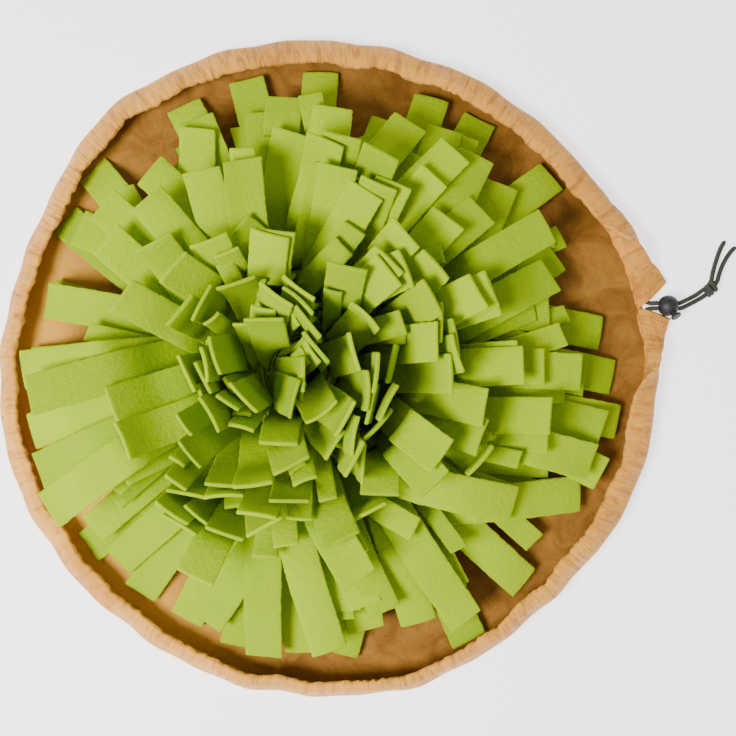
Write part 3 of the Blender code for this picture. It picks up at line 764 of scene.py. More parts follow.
class Paint:
    """A material in the making, with the nodes that feed its shader."""

    def __init__(self, name, roughness, sheen, gloss=0.5):
        self.material = bpy.data.materials.new(name)
        self.material.use_nodes = True
        self.nodes = self.material.node_tree.nodes
        self.link = self.material.node_tree.links.new
        self.shader = self.nodes["Principled BSDF"].inputs
        self.shader["Roughness"].default_value = roughness
        self.shader["Specular IOR Level"].default_value = gloss
        self.shader["Sheen Weight"].default_value = sheen
        self.shader["Sheen Roughness"].default_value = SHEEN_ROUGHNESS
        self.place = self.nodes.new("ShaderNodeTexCoord").outputs["Object"]

    def noise(self, scale, detail=3.0, roughness=0.55, distortion=0.0, place=None):
        texture = self.nodes.new("ShaderNodeTexNoise")
        for name, value in (("Scale", scale), ("Detail", detail), ("Roughness", roughness),
                            ("Distortion", distortion)):
            texture.inputs[name].default_value = value
        self.link(self.place if place is None else place, texture.inputs["Vector"])
        return texture.outputs["Fac"]

    def ramp(self, factor, low, dark, high, light):
        """Dark up to one value of the factor and light from another one on."""
        node = self.nodes.new("ShaderNodeValToRGB")
        for element, position, colour in zip(node.color_ramp.elements, (low, high), (dark, light)):
            element.position = position
            element.color = (*colour, 1.0)
        self.link(factor, node.inputs["Fac"])
        return node.outputs["Color"]

    def blend(self, kind, factor, a, b):
        mix = self.nodes.new("ShaderNodeMix")
        mix.data_type = "RGBA"
        mix.blend_type = kind
        for name, sort, value in (("Factor", "VALUE", factor), ("A", "RGBA", a), ("B", "RGBA", b)):
            socket = next(s for s in mix.inputs if s.name == name and s.type == sort)
            if isinstance(value, float):
                socket.default_value = value
            elif isinstance(value, tuple):
                socket.default_value = (*value, 1.0)
            else:
                self.link(value, socket)
        return next(s for s in mix.outputs if s.type == "RGBA")

    def darkened(self, share, base, factor, low, dark, high):
        """The base colour, made darker where the factor is low."""
        return self.blend("MULTIPLY", share, base, self.ramp(factor, low, dark, high, WHITE))

    def vector(self, kind, source, value):
        node = self.nodes.new("ShaderNodeVectorMath")
        node.operation = kind
        node.inputs[1].default_value = value
        self.link(source, node.inputs[0])
        return node.outputs["Value" if kind == "DOT_PRODUCT" else "Vector"]

    def spread(self, value, **limits):
        """The value taken from one range to another one; limits are the node's own, in short."""
        node = self.nodes.new("ShaderNodeMapRange")
        for name, limit in limits.items():
            node.inputs[name.replace("_", " ").title()].default_value = limit
        self.link(value, node.inputs["Value"])
        return node.outputs["Result"]

    def bump(self, distance, *parts):
        """Relief from the sum of (value, share) parts."""
        total = None
        for value, share in parts:
            node = self.nodes.new("ShaderNodeMath")
            node.operation = "MULTIPLY_ADD"
            self.link(value, node.inputs[0])
            node.inputs[1].default_value = share
            node.inputs[2].default_value = 0.0
            if total is not None:
                self.link(total, node.inputs[2])
            total = node.outputs[0]
        node = self.nodes.new("ShaderNodeBump")
        node.inputs["Strength"].default_value = 1.0
        node.inputs["Distance"].default_value = distance * MM
        self.link(total, node.inputs["Height"])
        self.link(node.outputs["Normal"], self.shader["Normal"])

    def done(self, colour):
        self.link(colour, self.shader["Base Color"])
        return self.material


def fleece_material():
    """Polar fleece: matt, with curled nap, a soft sheen and a slightly different tone per strip."""
    paint = Paint("fleece_pile", 0.95, 0.12, 0.1)
    curl = paint.noise(850.0, 4.0, 0.65, 0.6)
    nap = paint.noise(260.0, 3.0, 0.6)
    patch = paint.noise(24.0, 2.0)
    tone = paint.nodes.new("ShaderNodeAttribute")
    tone.attribute_name = "tone"
    base = paint.ramp(tone.outputs["Fac"], 0.0, FLEECE_DEEP, 1.0, FLEECE_LIGHT)
    mottled = paint.darkened(0.35, base, curl, 0.30, (0.62, 0.68, 0.45), 0.62)
    colour = paint.darkened(0.25, mottled, patch, 0.35, (0.84, 0.9, 0.8), 0.65)
    paint.shader["Sheen Tint"].default_value = (0.60, 1.0, 0.0, 1.0)
    paint.bump(0.9, (curl, 0.7), (nap, 0.8))
    return paint.done(colour)


def panel_material():
    """Brushed suede cloth: fine nap, with darker and lighter strokes where it was rubbed, and
    painted light that makes it lighter towards the lamp's side.
    """
    paint = Paint("brushed_panel", 0.85, 0.12, 0.15)
    grain = paint.noise(900.0, 3.0, 0.7)
    rubbed = paint.noise(38.0, 5.0, 0.65, 1.4)
    speck = paint.noise(330.0, 2.0, 0.6)
    dark = paint.ramp(rubbed, 0.30, PANEL_DEEP, 0.70, PANEL_LIGHT)
    # Painted light: the base cloth grows lighter towards the lamp's side, a light gradient in its
    # colour
    laid = paint.spread(paint.vector("DOT_PRODUCT", paint.place, PAINTED_LIGHT_TOWARD),
                        from_min=PAINTED_LIGHT_START, from_max=PAINTED_LIGHT_FULL)
    base = paint.blend("MIX", laid, dark, PANEL_PAINTED_LIT)
    paint.shader["Sheen Tint"].default_value = (1.0, 0.6, 0.2, 1.0)
    paint.bump(0.22, (grain, 0.7), (speck, 0.6))
    return paint.done(paint.darkened(0.5, base, grain, 0.32, (0.66, 0.62, 0.55), 0.62))


def casing_material(name, light, deep):
    """Woven polyester: fine crossing threads with a slight sheen, paler where it is rubbed, and
    painted shade in the valleys of the gathers.
    """
    paint = Paint(name, 0.5, 0.1, 0.35)
    cloth = paint.nodes.new("ShaderNodeUVMap")
    cloth.uv_map = "cloth"
    threads = []
    for direction in ("X", "Y"):
        wave = paint.nodes.new("ShaderNodeTexWave")
        wave.bands_direction = direction
        wave.inputs["Scale"].default_value = WEAVE_SCALE
        wave.inputs["Distortion"].default_value = 0.4
        paint.link(cloth.outputs["UV"], wave.inputs["Vector"])
        threads.append((wave.outputs["Fac"], WEAVE_DEPTH))
    drawn = paint.vector("MULTIPLY", cloth.outputs["UV"], GATHER_CREASES)
    gathers = paint.noise(1.0, 3.0, 0.6, 0.5, drawn)
    crease = paint.noise(120.0, 4.0, 0.65, 0.8)
    stain = paint.noise(22.0, 3.0)
    base = paint.ramp(stain, 0.34, deep, 0.66, light)
    colour = paint.darkened(0.3, base, crease, 0.3, (0.80, 0.74, 0.66), 0.6)
    # Painted shade: darker brown in the valleys of the gathers, where their relief is low
    colour = paint.darkened(0.75, colour, gathers, 0.32, (0.56, 0.41, 0.26), 0.50)
    paint.bump(0.6, *threads, (crease, 1.0), (gathers, 5.0))
    return paint.done(colour)


def cord_material():
    paint = Paint("braided_cord", 0.8, 0.08)
    yarn = paint.noise(1400.0, 3.0, 0.7)
    paint.bump(0.12, (yarn, 1.0))
    return paint.done(paint.ramp(yarn, 0.30, CORD_DEEP, 0.70, CORD_LIGHT))


def lock_material():
    """Moulded plastic with a fine eroded texture, a little shinier where it is handled."""
    paint = Paint("moulded_lock", 0.42, 0.0)
    grain = paint.noise(1800.0, 2.0, 0.6)
    worn = paint.noise(160.0)
    paint.link(paint.spread(worn, to_min=0.45, to_max=0.62), paint.shader["Roughness"])
    paint.bump(0.06, (grain, 1.0))
    return paint.done(paint.ramp(worn, 0.35, LOCK_DEEP, 0.7, LOCK_LIGHT))


def thread_material():
    paint = Paint("sewing_thread", 0.5, 0.1)
    twist = paint.noise(2600.0, 2.0)
    paint.bump(0.05, (twist, 1.0))
    return paint.done(paint.ramp(twist, 0.3, THREAD_DEEP, 0.7, THREAD_LIGHT))


def floor_material():
    paint = Paint("plain_floor", 0.9, 0.0)
    paint.shader["Emission Color"].default_value = (*WHITE, 1.0)
    paint.shader["Emission Strength"].default_value = FLOOR_GLOW
    return paint.done(paint.ramp(paint.noise(3.0), 0.3, FLOOR_DEEP, 0.7, FLOOR_LIGHT))


# Camera and light

def make_camera():
    """The camera straight above the middle of the photo, which is to the right of the mat's."""
    half_frame = PHOTO_PIXELS * MM_PER_PIXEL / 2
    middle = PHOTO_PIXELS / 2
    place = Vector(((middle - MAT_CENTRE_PIXEL[0]) * MM_PER_PIXEL,
                    (MAT_CENTRE_PIXEL[1] - middle) * MM_PER_PIXEL, EYE_HEIGHT))
    data = bpy.data.cameras.new("camera")
    data.sensor_width = SENSOR
    data.lens = SENSOR / 2 * EYE_HEIGHT / half_frame
    data.clip_start = 0.01
    data.clip_end = 10.0
    camera = linked("camera", data)
    camera.location = place * MM + SHIFT
    bpy.context.scene.camera = camera


def make_light():
    """A soft lamp high on the left, with a pale sky all round."""
    world = bpy.data.worlds.new("sky")
    world.use_nodes = True
    sky = world.node_tree.nodes["Background"]
    sky.inputs["Color"].default_value = (1.0, 1.0, 1.0, 1.0)
    sky.inputs["Strength"].default_value = SKY_STRENGTH
    bpy.context.scene.world = world
    for name, place, size, power, colour in LAMPS:
        lamp = bpy.data.lights.new(name, "AREA")
        lamp.shape = "DISK"
        lamp.size = size
        lamp.energy = power
        lamp.color = colour
        obj = linked(name, lamp)
        obj.location = place
        obj.rotation_euler = (-Vector(place)).to_track_quat("-Z", "Y").to_euler()


def mesh_from(shape, name, material):
    mesh = bpy.data.meshes.new(name)
    shape.to_mesh(mesh)
    shape.free()
    mesh.materials.append(material)
    return mesh


def make_floor(material):
    shape = bmesh.new()
    bmesh.ops.create_grid(shape, x_segments=1, y_segments=1, size=FLOOR_HALF)
    floor = linked("floor", mesh_from(shape, "floor", material))
    floor.location.z = -FLOOR_DROP


# Cords, knot and lock

def frames_along(points):
    """Two directions square to the route at each point, carried along without twisting."""
    tangent = unit_rows(np.gradient(points, axis=0))
    side = np.cross(tangent[0], (0.0, 0.0, 1.0))
    sides = []
    for direction in tangent:
        side = side - direction * np.dot(side, direction)
        side /= np.linalg.norm(side)
        sides.append(side)
    sides = np.array(sides)
    return sides, np.cross(tangent, sides)


def braided_tube(name, points, radius, material):
    """A round braided cord: strands that pass over and under each other along the route."""
    sides, ups = frames_along(points)
    along = lengths_along(points)
    around = np.arange(BRAID_SIDES) * 2 * math.pi / BRAID_SIDES
    to_end = np.minimum(along, along[-1] - along)
    taper = 0.55 + 0.45 * smoothstep(0.0, BRAID_TAPER, to_end)
    lay = along[:, None] * 2 * math.pi / BRAID_LAY
    left = np.cos(BRAID_STRANDS * (around[None, :] + lay))
    right = np.cos(BRAID_STRANDS * (around[None, :] - lay))
    reach = radius * taper[:, None] * (1 - BRAID_RELIEF + BRAID_RELIEF * np.maximum(left, right))
    grid = (points[:, None, :] + sides[:, None, :] * (np.cos(around) * reach)[:, :, None]
            + ups[:, None, :] * (np.sin(around) * reach)[:, :, None])
    return make_piece(name, grid.reshape(-1, 3), capped_faces(len(points), BRAID_SIDES), material)


def free_cord_routes():
    """Each whole cord from inside the lock, through the knot, to its tip."""
    face = LOCK_CENTRE + Vector((LOCK_FLAT - 0.8, 0.0, 0.0))
    straight = LOCK_CENTRE + Vector((LOCK_FLAT + GAP + STRAIGHT_RUN, 0.0, 0.0))
    spread = Vector((0.0, CORD_SPREAD, 0.0))
    upper = [face + spread, straight + spread, *UPPER_LEAD, *UPPER_IN_KNOT, *UPPER_TAIL]
    lower = [face - spread, straight - spread, *LOWER_LEAD, *LOWER_IN_KNOT, *LOWER_TAIL]
    return {"upper": smooth_route(upper, BRAID_STEP), "lower": smooth_route(lower, BRAID_STEP)}


def make_knot_wraps(material):
    """The overhand knot: the doubled cords wound round themselves and pulled tight."""
    axis = Vector((*unit(KNOT_WRAP_BEARING), 0.0))
    across = Vector((-axis.y, axis.x, 0.0))
    route = []
    steps = int(KNOT_TURNS * 36)
    for step in range(steps + 1):
        t = step / steps
        turn = 2 * math.pi * KNOT_TURNS * t + KNOT_PHASE
        tuck = 1 - 0.45 * (1 - smoothstep(0.0, 0.14, min(t, 1 - t)))
        along = np.interp(t, KNOT_SPACING[0], KNOT_SPACING[1])
        point = (KNOT_CENTRE + axis * float(along + 0.55 * math.cos(turn))
                 + across * (math.cos(turn) * KNOT_WIDE * tuck)
                 + Vector((0.0, 0.0, math.sin(turn) * KNOT_HIGH * tuck)))
        route.append(point)
    return braided_tube("knot_wraps", smooth_route(route, BRAID_STEP), KNOT_CORD, material)


def turned(name, profile, steps, material):
    """A turned shape about +Z; profile rows are radius and place along the axis."""
    shape = bmesh.new()
    verts = [shape.verts.new((radius * MM, 0.0, along * MM)) for radius, along in profile]
    edges = [shape.edges.new(pair) for pair in zip(verts, verts[1:])]
    bmesh.ops.spin(shape, geom=verts + edges, axis=(0, 0, 1), cent=(0, 0, 0), steps=steps,
                   angle=2 * math.pi)
    bmesh.ops.remove_doubles(shape, verts=shape.verts, dist=0.000002)
    bmesh.ops.recalc_face_normals(shape, faces=shape.faces)
    mesh = mesh_from(shape, name, material)
    mesh.shade_smooth()
    return linked(name, mesh)


def bake_place(obj, centre, direction):
    """Turns a shape made about +Z to a direction at a place in the frame."""
    turn = direction.to_track_quat("Z", "Y").to_matrix().to_4x4()
    obj.data.transform(Matrix.Translation(Vector(centre) * MM + SHIFT) @ turn)


def rounded_profile(corners, radius, steps=4):
    """The profile with each inner corner rounded off."""
    points = [Vector(corner) for corner in corners]
    made = [points[0]]
    for before, corner, after in zip(points, points[1:], points[2:]):
        reach = min(radius, (before - corner).length * 0.45, (after - corner).length * 0.45)
        start = corner + (before - corner).normalized() * reach
        end = corner + (after - corner).normalized() * reach
        for step in range(steps + 1):
            t = step / steps
            made.append(start * (1 - t) ** 2 + corner * (2 * t * (1 - t)) + end * t * t)
    made.append(points[-1])
    return made


def make_lock_pieces(material):
    """The lock's ball with its cord holes and plunger bore, and the plunger with its domed cap."""
    edge = math.acos(LOCK_FLAT / LOCK_RADIUS)
    profile = [(0.0, LOCK_FLAT), (LOCK_RADIUS * math.sin(edge) - 0.5, LOCK_FLAT)]
    for angle in np.linspace(edge + 0.06, math.pi - edge - 0.06, 33):
        profile.append((LOCK_RADIUS * math.sin(angle), LOCK_RADIUS * math.cos(angle)))
    profile += [(LOCK_RADIUS * math.sin(edge) - 0.5, -LOCK_FLAT), (0.0, -LOCK_FLAT)]
    shell = turned("lock_shell", profile, 64, material)
    bake_place(shell, LOCK_CENTRE, Vector((1.0, 0.0, 0.0)))
    bore_end = BUTTON_FLAT - BORE_DEPTH
    bore = turned("bore", [(0.0, 12.0), (7.0, 12.0), (7.0, BUTTON_FLAT), (BUTTON_BORE, BUTTON_FLAT),
                           (BUTTON_BORE, bore_end), (0.0, bore_end)], 48, material)
    bake_place(bore, LOCK_CENTRE, button_axis())
    cutters = [bore]
    for side in (1.0, -1.0):
        hole = turned("hole", [(0.0, 9.0), (CORD_HOLE, 9.0), (CORD_HOLE, -9.0), (0.0, -9.0)], 32,
                      material)
        bake_place(hole, LOCK_CENTRE + Vector((0.0, side * CORD_SPREAD, 0.0)),
                   Vector((1.0, 0.0, 0.0)))
        cutters.append(hole)
    for cutter in cutters:
        cut = shell.modifiers.new("cut", "BOOLEAN")
        cut.operation = "DIFFERENCE"
        cut.solver = "EXACT"
        cut.object = cutter
    applied(shell)
    for cutter in cutters:
        bpy.data.objects.remove(cutter, do_unlink=True)
    shell.data.shade_smooth()
    shell.data.set_sharp_from_angle(angle=math.radians(35))
    cap_from = BUTTON_FLAT + BUTTON_TRAVEL + GAP
    stem_end = bore_end + BUTTON_TRAVEL + 0.4
    cap_edge = cap_from + CAP_THICK - CAP_DOME
    profile = rounded_profile(((0.0, cap_from + CAP_THICK), (BUTTON_CAP, cap_edge),
                               (BUTTON_CAP, cap_from), (BUTTON_STEM, cap_from),
                               (BUTTON_STEM, stem_end), (0.0, stem_end)), 0.6)
    plunger = turned("lock_plunger", profile, 48, material)
    bake_place(plunger, LOCK_CENTRE, button_axis())
    return shell, plunger


def drawstring_route():
    stations = sleeve_stations()
    share = cord_share(stations)
    inside = trimmed(stations, share, sleeve_point(stations, share, 0.0))
    face = LOCK_CENTRE - Vector((LOCK_FLAT + GAP, 0.0, 0.0))
    ends = []
    for side, mouth in ((1.0, inside[:2]), (-1.0, inside[:-3:-1])):
        entry = face + Vector((0.0, side * CORD_SPREAD, 0.0))
        straight = entry - Vector((STRAIGHT_RUN, 0.0, 0.0))
        bend = straight.lerp(Vector(mouth[0]), 0.5) + Vector((-0.8, -0.8 * side, -0.2))
        ends.append([Vector(entry) + Vector((0.8, 0.0, 0.0)),
                     *smooth_route([straight, bend, *mouth], BRAID_STEP)])
    return np.array([tuple(p) for p in [*ends[0][:-1], *inside[1:-1], *ends[1][-2::-1]]])


# Rim

def rim_stations():
    """Bearings of the fine sections, closer together across the two hems."""
    hem = math.degrees(HEM_WIDTH / MEAN_RADIUS) * 1.8
    step = math.degrees(RIM_STEP / MEAN_RADIUS)
    fine = math.degrees(HEM_STEP / MEAN_RADIUS)
    start, end = UPPER_END - HEM_CLOSER[0], LOWER_END + HEM_CLOSER[1]
    return np.concatenate([
        np.arange(start, start + hem, fine),
        np.linspace(start + hem, end - hem, int((end - start - 2 * hem) / step)),
        np.arange(end - hem + fine, end + fine / 2, fine),
    ])


def hem_lift(stations):
    """How much thicker the doubled cloth of the hems makes each ply."""
    from_end = np.radians(np.minimum(stations - UPPER_END, LOWER_END - stations)) * MEAN_RADIUS
    return HEM_RISE * (1 - smoothstep(HEM_WIDTH - 0.4, HEM_WIDTH + 0.5, from_end))


def trimmed(stations, share, points):
    """The sleeve's points moved out or in to the outline that the photo shows."""
    flat = flatness(stations)
    table = np.array(RIM_TRIM)
    trim = np.interp(stations, table[:, 0], table[:, 1], period=360)
    trim *= flat * share + (1 - flat) * np.minimum(1.0, share / 0.3)
    points[:, :2] *= (1 + trim / np.hypot(points[:, 0], points[:, 1]))[:, None]
    points[:, 2] += np.maximum(0.0, -trim) * 0.5 * flat
    return points


def rim_surface(stations, share, outer):
    """Points of one ply of the sleeve, at one share of its width, with its gathers and dents."""
    cord = cord_share(stations)
    flat = flatness(stations)
    standing = 1 - flat
    turn = np.radians(stations)
    channel = CHANNEL_HALF + CHANNEL_AT_MOUTH * flat * standing
    knots = np.stack([*(at * cord for at, _ in PLY_HALVES), cord, cord ** 0], axis=1)
    halves = np.stack([*(half * cord ** 0 for _, half in PLY_HALVES), channel,
                       PLY_HALVES[0][1] * cord ** 0], axis=1)
    half = np.array([np.interp(share, k, h) for k, h in zip(knots, halves)])
    half += hem_lift(stations) * math.sqrt(max(0.0, math.sin(math.pi * share)))
    uneven = 0.55 + 0.45 * waves(turn, (61.0, 97.0, 43.0), 3)
    phase = turn * MEAN_RADIUS * 2 * math.pi / GATHER_PITCH + 2.2 * waves(turn, (83.0, 47.0), 5)
    pleat = np.sin(phase + 2.1 * share) * 0.75 + np.sin(1.7 * phase + 1.0) * 0.35
    crest = smoothstep(0.35, 0.95, share)
    gathers = GATHER_DEPTH * pleat * uneven * crest * standing
    dents = DENT_DEPTH * waves(turn + 0.35 * share, (38.0, 57.0, 83.0), 7) * standing
    dents = dents * math.sin(math.pi * min(1.0, share * 1.1)) ** 2
    soft = 0.5 * waves(turn + 0.2 * share, (17.0, 26.0), 9) * flat * share
    shift = gathers + dents + soft
    scallop = SCALLOP_DEPTH * waves(turn, (SCALLOP_PITCH, 1.6 * SCALLOP_PITCH, 9.0), 13)
    wide = share * (1 + scallop / SLEEVE_WIDTH * smoothstep(0.6, 1.0, share) * standing)
    pinch = 1 + 0.25 * pleat * crest * standing
    lift = shift - half * pinch if outer else shift + half
    points = trimmed(stations, share, sleeve_point(stations, wide, lift))
    points[:, 2] = np.maximum(points[:, 2], RIM_LOWEST)
    return points


def make_rim_cloth(material):
    """The gathered sleeve: a closed loop of cloth in section, with its inner and outer skins."""
    stations = rim_stations()
    shares = (0.0, 0.04, 0.1, 0.17, 0.25, 0.33, 0.41, 0.49, 0.57, 0.65, 0.72, 0.78, 0.84, 0.89,
              0.94, 0.98, 1.0)
    rings = [rim_surface(stations, share, True) for share in shares]
    rings += [rim_surface(stations, share, False) for share in reversed(shares)]
    around = len(rings)
    points = np.stack(rings, axis=1).reshape(-1, 3)
    along = np.radians(stations) * MEAN_RADIUS
    across = np.array([share * SLEEVE_WIDTH for share in shares])
    across = np.concatenate([across, 2 * SLEEVE_WIDTH - across[::-1]])
    uv = np.stack([np.repeat(along, around), np.tile(across, len(stations))], axis=1)
    rim = make_piece("rim_cloth", points, loop_faces(len(stations), around), material, uv)
    shell = rim.modifiers.new("thickness", "SOLIDIFY")
    shell.thickness = CLOTH_THICK * MM
    shell.offset = 0.0
    shell.use_quality_normals = True
    return applied(rim)


def stitch_points(length, radius):
    """A short thread with rounded ends, along +X about the origin."""
    sections = ((-0.5, 0.35), (-0.42, 0.8), (-0.25, 1.0), (0.25, 1.0), (0.42, 0.8), (0.5, 0.35))
    points = []
    for along, thick in sections:
        for k in range(STITCH_SIDES):
            angle = 2 * math.pi * k / STITCH_SIDES
            points.append((along * length, math.cos(angle) * radius * thick,
                           math.sin(angle) * radius * thick))
    return np.array(points), capped_faces(len(sections), STITCH_SIDES)


def make_stitches(name, line, material):
    """Threads along a line of (place, direction, upward) rows, joined in one piece."""
    shape, shape_faces = stitch_points(STITCH_LENGTH, STITCH_RADIUS)
    points = []
    faces = []
    for place, along, up in line:
        side = np.cross(up, along)
        first = len(points)
        points += list(place + shape[:, :1] * along + shape[:, 1:2] * side + shape[:, 2:] * up)
        faces += [tuple(first + corner for corner in face) for face in shape_faces]
    return make_piece(name, points, faces, material)


def rows_along(route, normals, pitch):
    """Places, directions and normals at even steps along a dense route."""
    along = lengths_along(route)
    wanted = np.arange(pitch / 2, along[-1], pitch)
    places = read_at(wanted, along, route)
    ahead = unit_rows(read_at(wanted + 0.5, along, route) - places)
    ups = read_at(wanted, along, normals)
    ups -= ahead * (ups * ahead).sum(axis=1)[:, None]
    return list(zip(places, ahead, unit_rows(ups)))


def hem_lines():
    """Where the hems are sewn, across both plies at each end of the sleeve."""
    found = []
    inset = math.degrees(HEM_WIDTH / MEAN_RADIUS)
    for station in (UPPER_END + inset, LOWER_END - inset):
        stations = np.array([station, station + 0.02])
        for outer, sign in ((True, -1.0), (False, 1.0)):
            route = np.array([rim_surface(stations, share, outer)[0]
                              for share in np.linspace(0.05, 0.96, 60)])
            up = np.tile((0.0, 0.0, sign), (len(route), 1))
            found += rows_along(route + up * (CLOTH_THICK / 2 + STITCH_RADIUS * 0.4), up,
                                STITCH_EVERY)
    return found


def make_seam_welt(material):
    """The turned edge of the sleeve's cloth, sewn down on the panel along the seam."""
    turn = np.radians(np.arange(0.0, 360.0, math.degrees(1.2 / MEAN_RADIUS)))
    bearings = np.degrees(turn)
    wavy = WELT_WAVE * waves(turn, (19.0, 27.0, 11.0), 21)
    radius = seam_radius(bearings) + WELT_INSET + wavy
    rise = 0.15 * waves(turn, (13.0, 31.0), 22)
    sides = 8
    section = [(math.cos(a), math.sin(a)) for a in np.arange(sides) * 2 * math.pi / sides]
    grid = []
    for wide, high in section:
        grid.append(ringed(radius + wide * WELT_WIDTH / 2, turn,
                           WELT_Z + rise + high * WELT_HIGH / 2))
    points = np.stack(grid, axis=1).reshape(-1, 3)
    uv = np.stack([np.repeat(turn * MEAN_RADIUS, sides),
                   np.tile(np.arange(sides) * 0.5, len(turn))], axis=1)
    return make_piece("seam_welt", points,
                      loop_faces(len(turn), sides, closed_sweep=True), material, uv)


# Base cloth

def make_base_cloth(material):
    """The round base cloth: flat below, with slight puckers on top where it meets the seam."""
    bearings = np.arange(0.0, 360.0, 1.0)
    edge = panel_edge(bearings)
    shares = np.concatenate([np.linspace(0.06, 0.80, 14), np.linspace(0.815, 1.0, 26)])
    turn = np.radians(bearings)
    rows = []
    for share in shares:
        flat = edge * share
        from_seam = (1 - share) * MEAN_RADIUS
        near = float(1 - smoothstep(4.0, 26.0, from_seam))
        pucker = waves(turn, (14.0, 21.0, 33.0), 31) * 0.28 * near
        broad = np.array([noise.noise(Vector((x * 0.03, y * 0.03, 4.0))) for x, y in flat]) * 0.35
        top = PANEL_THICK - 0.18 + np.clip(pucker + broad - 0.1, -0.8, 0.22 + 0.9 * near)
        rows.append(np.column_stack([flat, top]))
    rows.append(np.column_stack([edge * 1.001, np.full(len(edge), PANEL_THICK * 0.45)]))
    rows.append(np.column_stack([edge * 0.999, np.full(len(edge), 0.0)]))
    points = np.concatenate(rows)
    around = len(bearings)
    faces = loop_faces(len(rows), around)
    middle = len(points)
    points = np.vstack([points, (0.0, 0.0, PANEL_THICK - 0.2)])
    faces += [(middle, (k + 1) % around, k) for k in range(around)]
    last = (len(rows) - 1) * around
    faces.append(tuple(range(last, last + around)))
    faces = [tuple(reversed(face)) for face in faces]
    return make_piece("base_cloth", points, faces, material)


# Fleece

def spline_rows(values, knots, wanted):
    """Smooth values at the wanted places, through each value at its own knot."""
    values = np.asarray(values, dtype=float)
    step = np.diff(knots)[:, None]
    slope = np.diff(values, axis=0) / step
    middle = (slope[:-1] * step[1:] + slope[1:] * step[:-1]) / (step[1:] + step[:-1])
    slope_at = np.concatenate([slope[:1], middle, slope[-1:]])
    index = np.clip(np.searchsorted(knots, wanted, side="right") - 1, 0, len(knots) - 2)
    run = step[index]
    t = ((wanted - knots[index])[:, None]) / run
    return ((2 * t ** 3 - 3 * t ** 2 + 1) * values[index] + (t ** 3 - 2 * t ** 2 + t) * run
            * slope_at[index] + (3 * t ** 2 - 2 * t ** 3) * values[index + 1]
            + (t ** 3 - t ** 2) * run * slope_at[index + 1])


def strip_points(rows, dice):
    """A soft strip through the laid rows: sections from root to tip, each a loop of points."""
    left = np.array([row[0] for row in rows])
    right = np.array([row[-1] for row in rows])
    middle = np.array([row[len(row) // 2] if len(row) == 3 else (row[0] + row[1]) / 2
                       for row in rows])
    knots = lengths_along(middle)
    length = knots[-1]
    at = np.linspace(0.0, length, int(length / PILE_STEP) + 2)
    at = np.concatenate([at[:-1], [length - 1.0, length - 0.35, length]])
    at = np.unique(at)
    left, right, middle = (spline_rows(side, knots, at) for side in (left, right, middle))
    along = unit_rows(np.gradient(middle, at, axis=0))
    wide = (right - left) / 2 * WIDEN
    bow = (left + right) / 2 - middle
    face = unit_rows(np.cross(along, wide))
    share = at / length
    low = middle[:, 2].max() < LOW_STRIP
    cup = dice.uniform(*CUP) * smoothstep(0.1, 0.6, share) * (0.5 if low else 1.0)
    curl = dice.uniform(*(LOW_CURL if low else CURL))
    lift = curl * np.clip((share - 0.7) / 0.3, 0.0, 1.0) ** 2
    wave = LOW_WAVE if low else WAVE
    lift += wave * np.sin(at / dice.uniform(*WAVE_RUN) + dice.uniform(0.0, 6.3))
    skew = dice.uniform(-SKEW, SKEW)
    seed = dice.uniform(0.0, 100.0)
    narrow = np.ones(len(at))
    narrow[-3:] = (1.0, 0.985, 0.955)
    thick = np.full(len(at), PILE_THICK / 2)
    thick[-2:] = (PILE_THICK * 0.44, PILE_THICK * 0.26)
    grid = np.empty((len(at), len(STRIP_SECTION), 3))
    for k, (u, v) in enumerate(STRIP_SECTION):
        ragged = np.array([noise.noise(Vector((s * 0.45, seed, 7.0 * u))) for s in at])
        fine = np.array([noise.noise(Vector((s * 1.3, seed + 9.0, 7.0 * u))) for s in at])
        reach = u * narrow * (1 + abs(u) ** 6 * (0.035 * ragged + 0.022 * fine))
        grid[:, k] = (middle + wide * reach[:, None] + bow * (u * u)
                      + face * ((cup * (u * u - 0.4) + lift) + v * thick)[:, None]
                      + along * (skew * u * smoothstep(0.75, 1.0, share))[:, None])
    floor = PANEL_THICK + 0.05
    grid[:, :, 2] = np.maximum(grid[:, :, 2], floor + 0.12 * (np.array(
        [v for _, v in STRIP_SECTION])[None, :] + 1))
    return grid


def wall_points(ring):
    """The ring's low band, as loops of a rounded section."""
    radius = ring_radius(ring)
    count = max(24, int(2 * math.pi * radius / 3.0))
    half = WALL_THICK / 2
    section = ((-half, 1.9), (-half, WALL_TOP - 0.6), (-half * 0.6, WALL_TOP - 0.1),
               (half * 0.6, WALL_TOP - 0.1), (half, WALL_TOP - 0.6), (half, 1.9))
    centre = ring_centre(ring)
    points = []
    for k in range(count):
        away = unit(360.0 * k / count)
        for off, z in section:
            place = centre + away * (radius + off)
            points.append((place.x, place.y, z))
    return np.array(points), loop_faces(count, len(section), closed_sweep=True)


class Space:
    """The cells of a box round the pile, and which of them cloth already takes."""

    CELL = 1.0
    HALF = 236.0
    TOP = 112.0
    REACH = 1.05
    FLOOR = 3.7

    def __init__(self):
        across = int(2 * self.HALF / self.CELL)
        self.taken = np.zeros((across, across, int(self.TOP / self.CELL)), dtype=bool)
        self.taken[:, :, :int(self.FLOOR / self.CELL)] = True
        steps = int(self.REACH / self.CELL) + 1
        span = range(-steps, steps + 1)
        self.ball = [(i, j, k) for i in span for j in span for k in span
                     if math.sqrt(i * i + j * j + k * k) * self.CELL < self.REACH]

    def cells(self, points):
        index = ((points + (self.HALF, self.HALF, 0.0)) / self.CELL).astype(int)
        return index[:, 0], index[:, 1], np.clip(index[:, 2], 0, self.taken.shape[2] - 1)

    def add(self, rows):
        for row_a, row_b in zip(rows, rows[1:]):
            cells = np.unique(np.stack(self.cells(samples(row_a, row_b)), axis=1), axis=0)
            x, y, z = cells.T
            for i, j, k in self.ball:
                self.taken[x + i, y + j, np.clip(z + k, 0, self.taken.shape[2] - 1)] = True

    def free(self, points):
        return not self.taken[self.cells(points)].any()


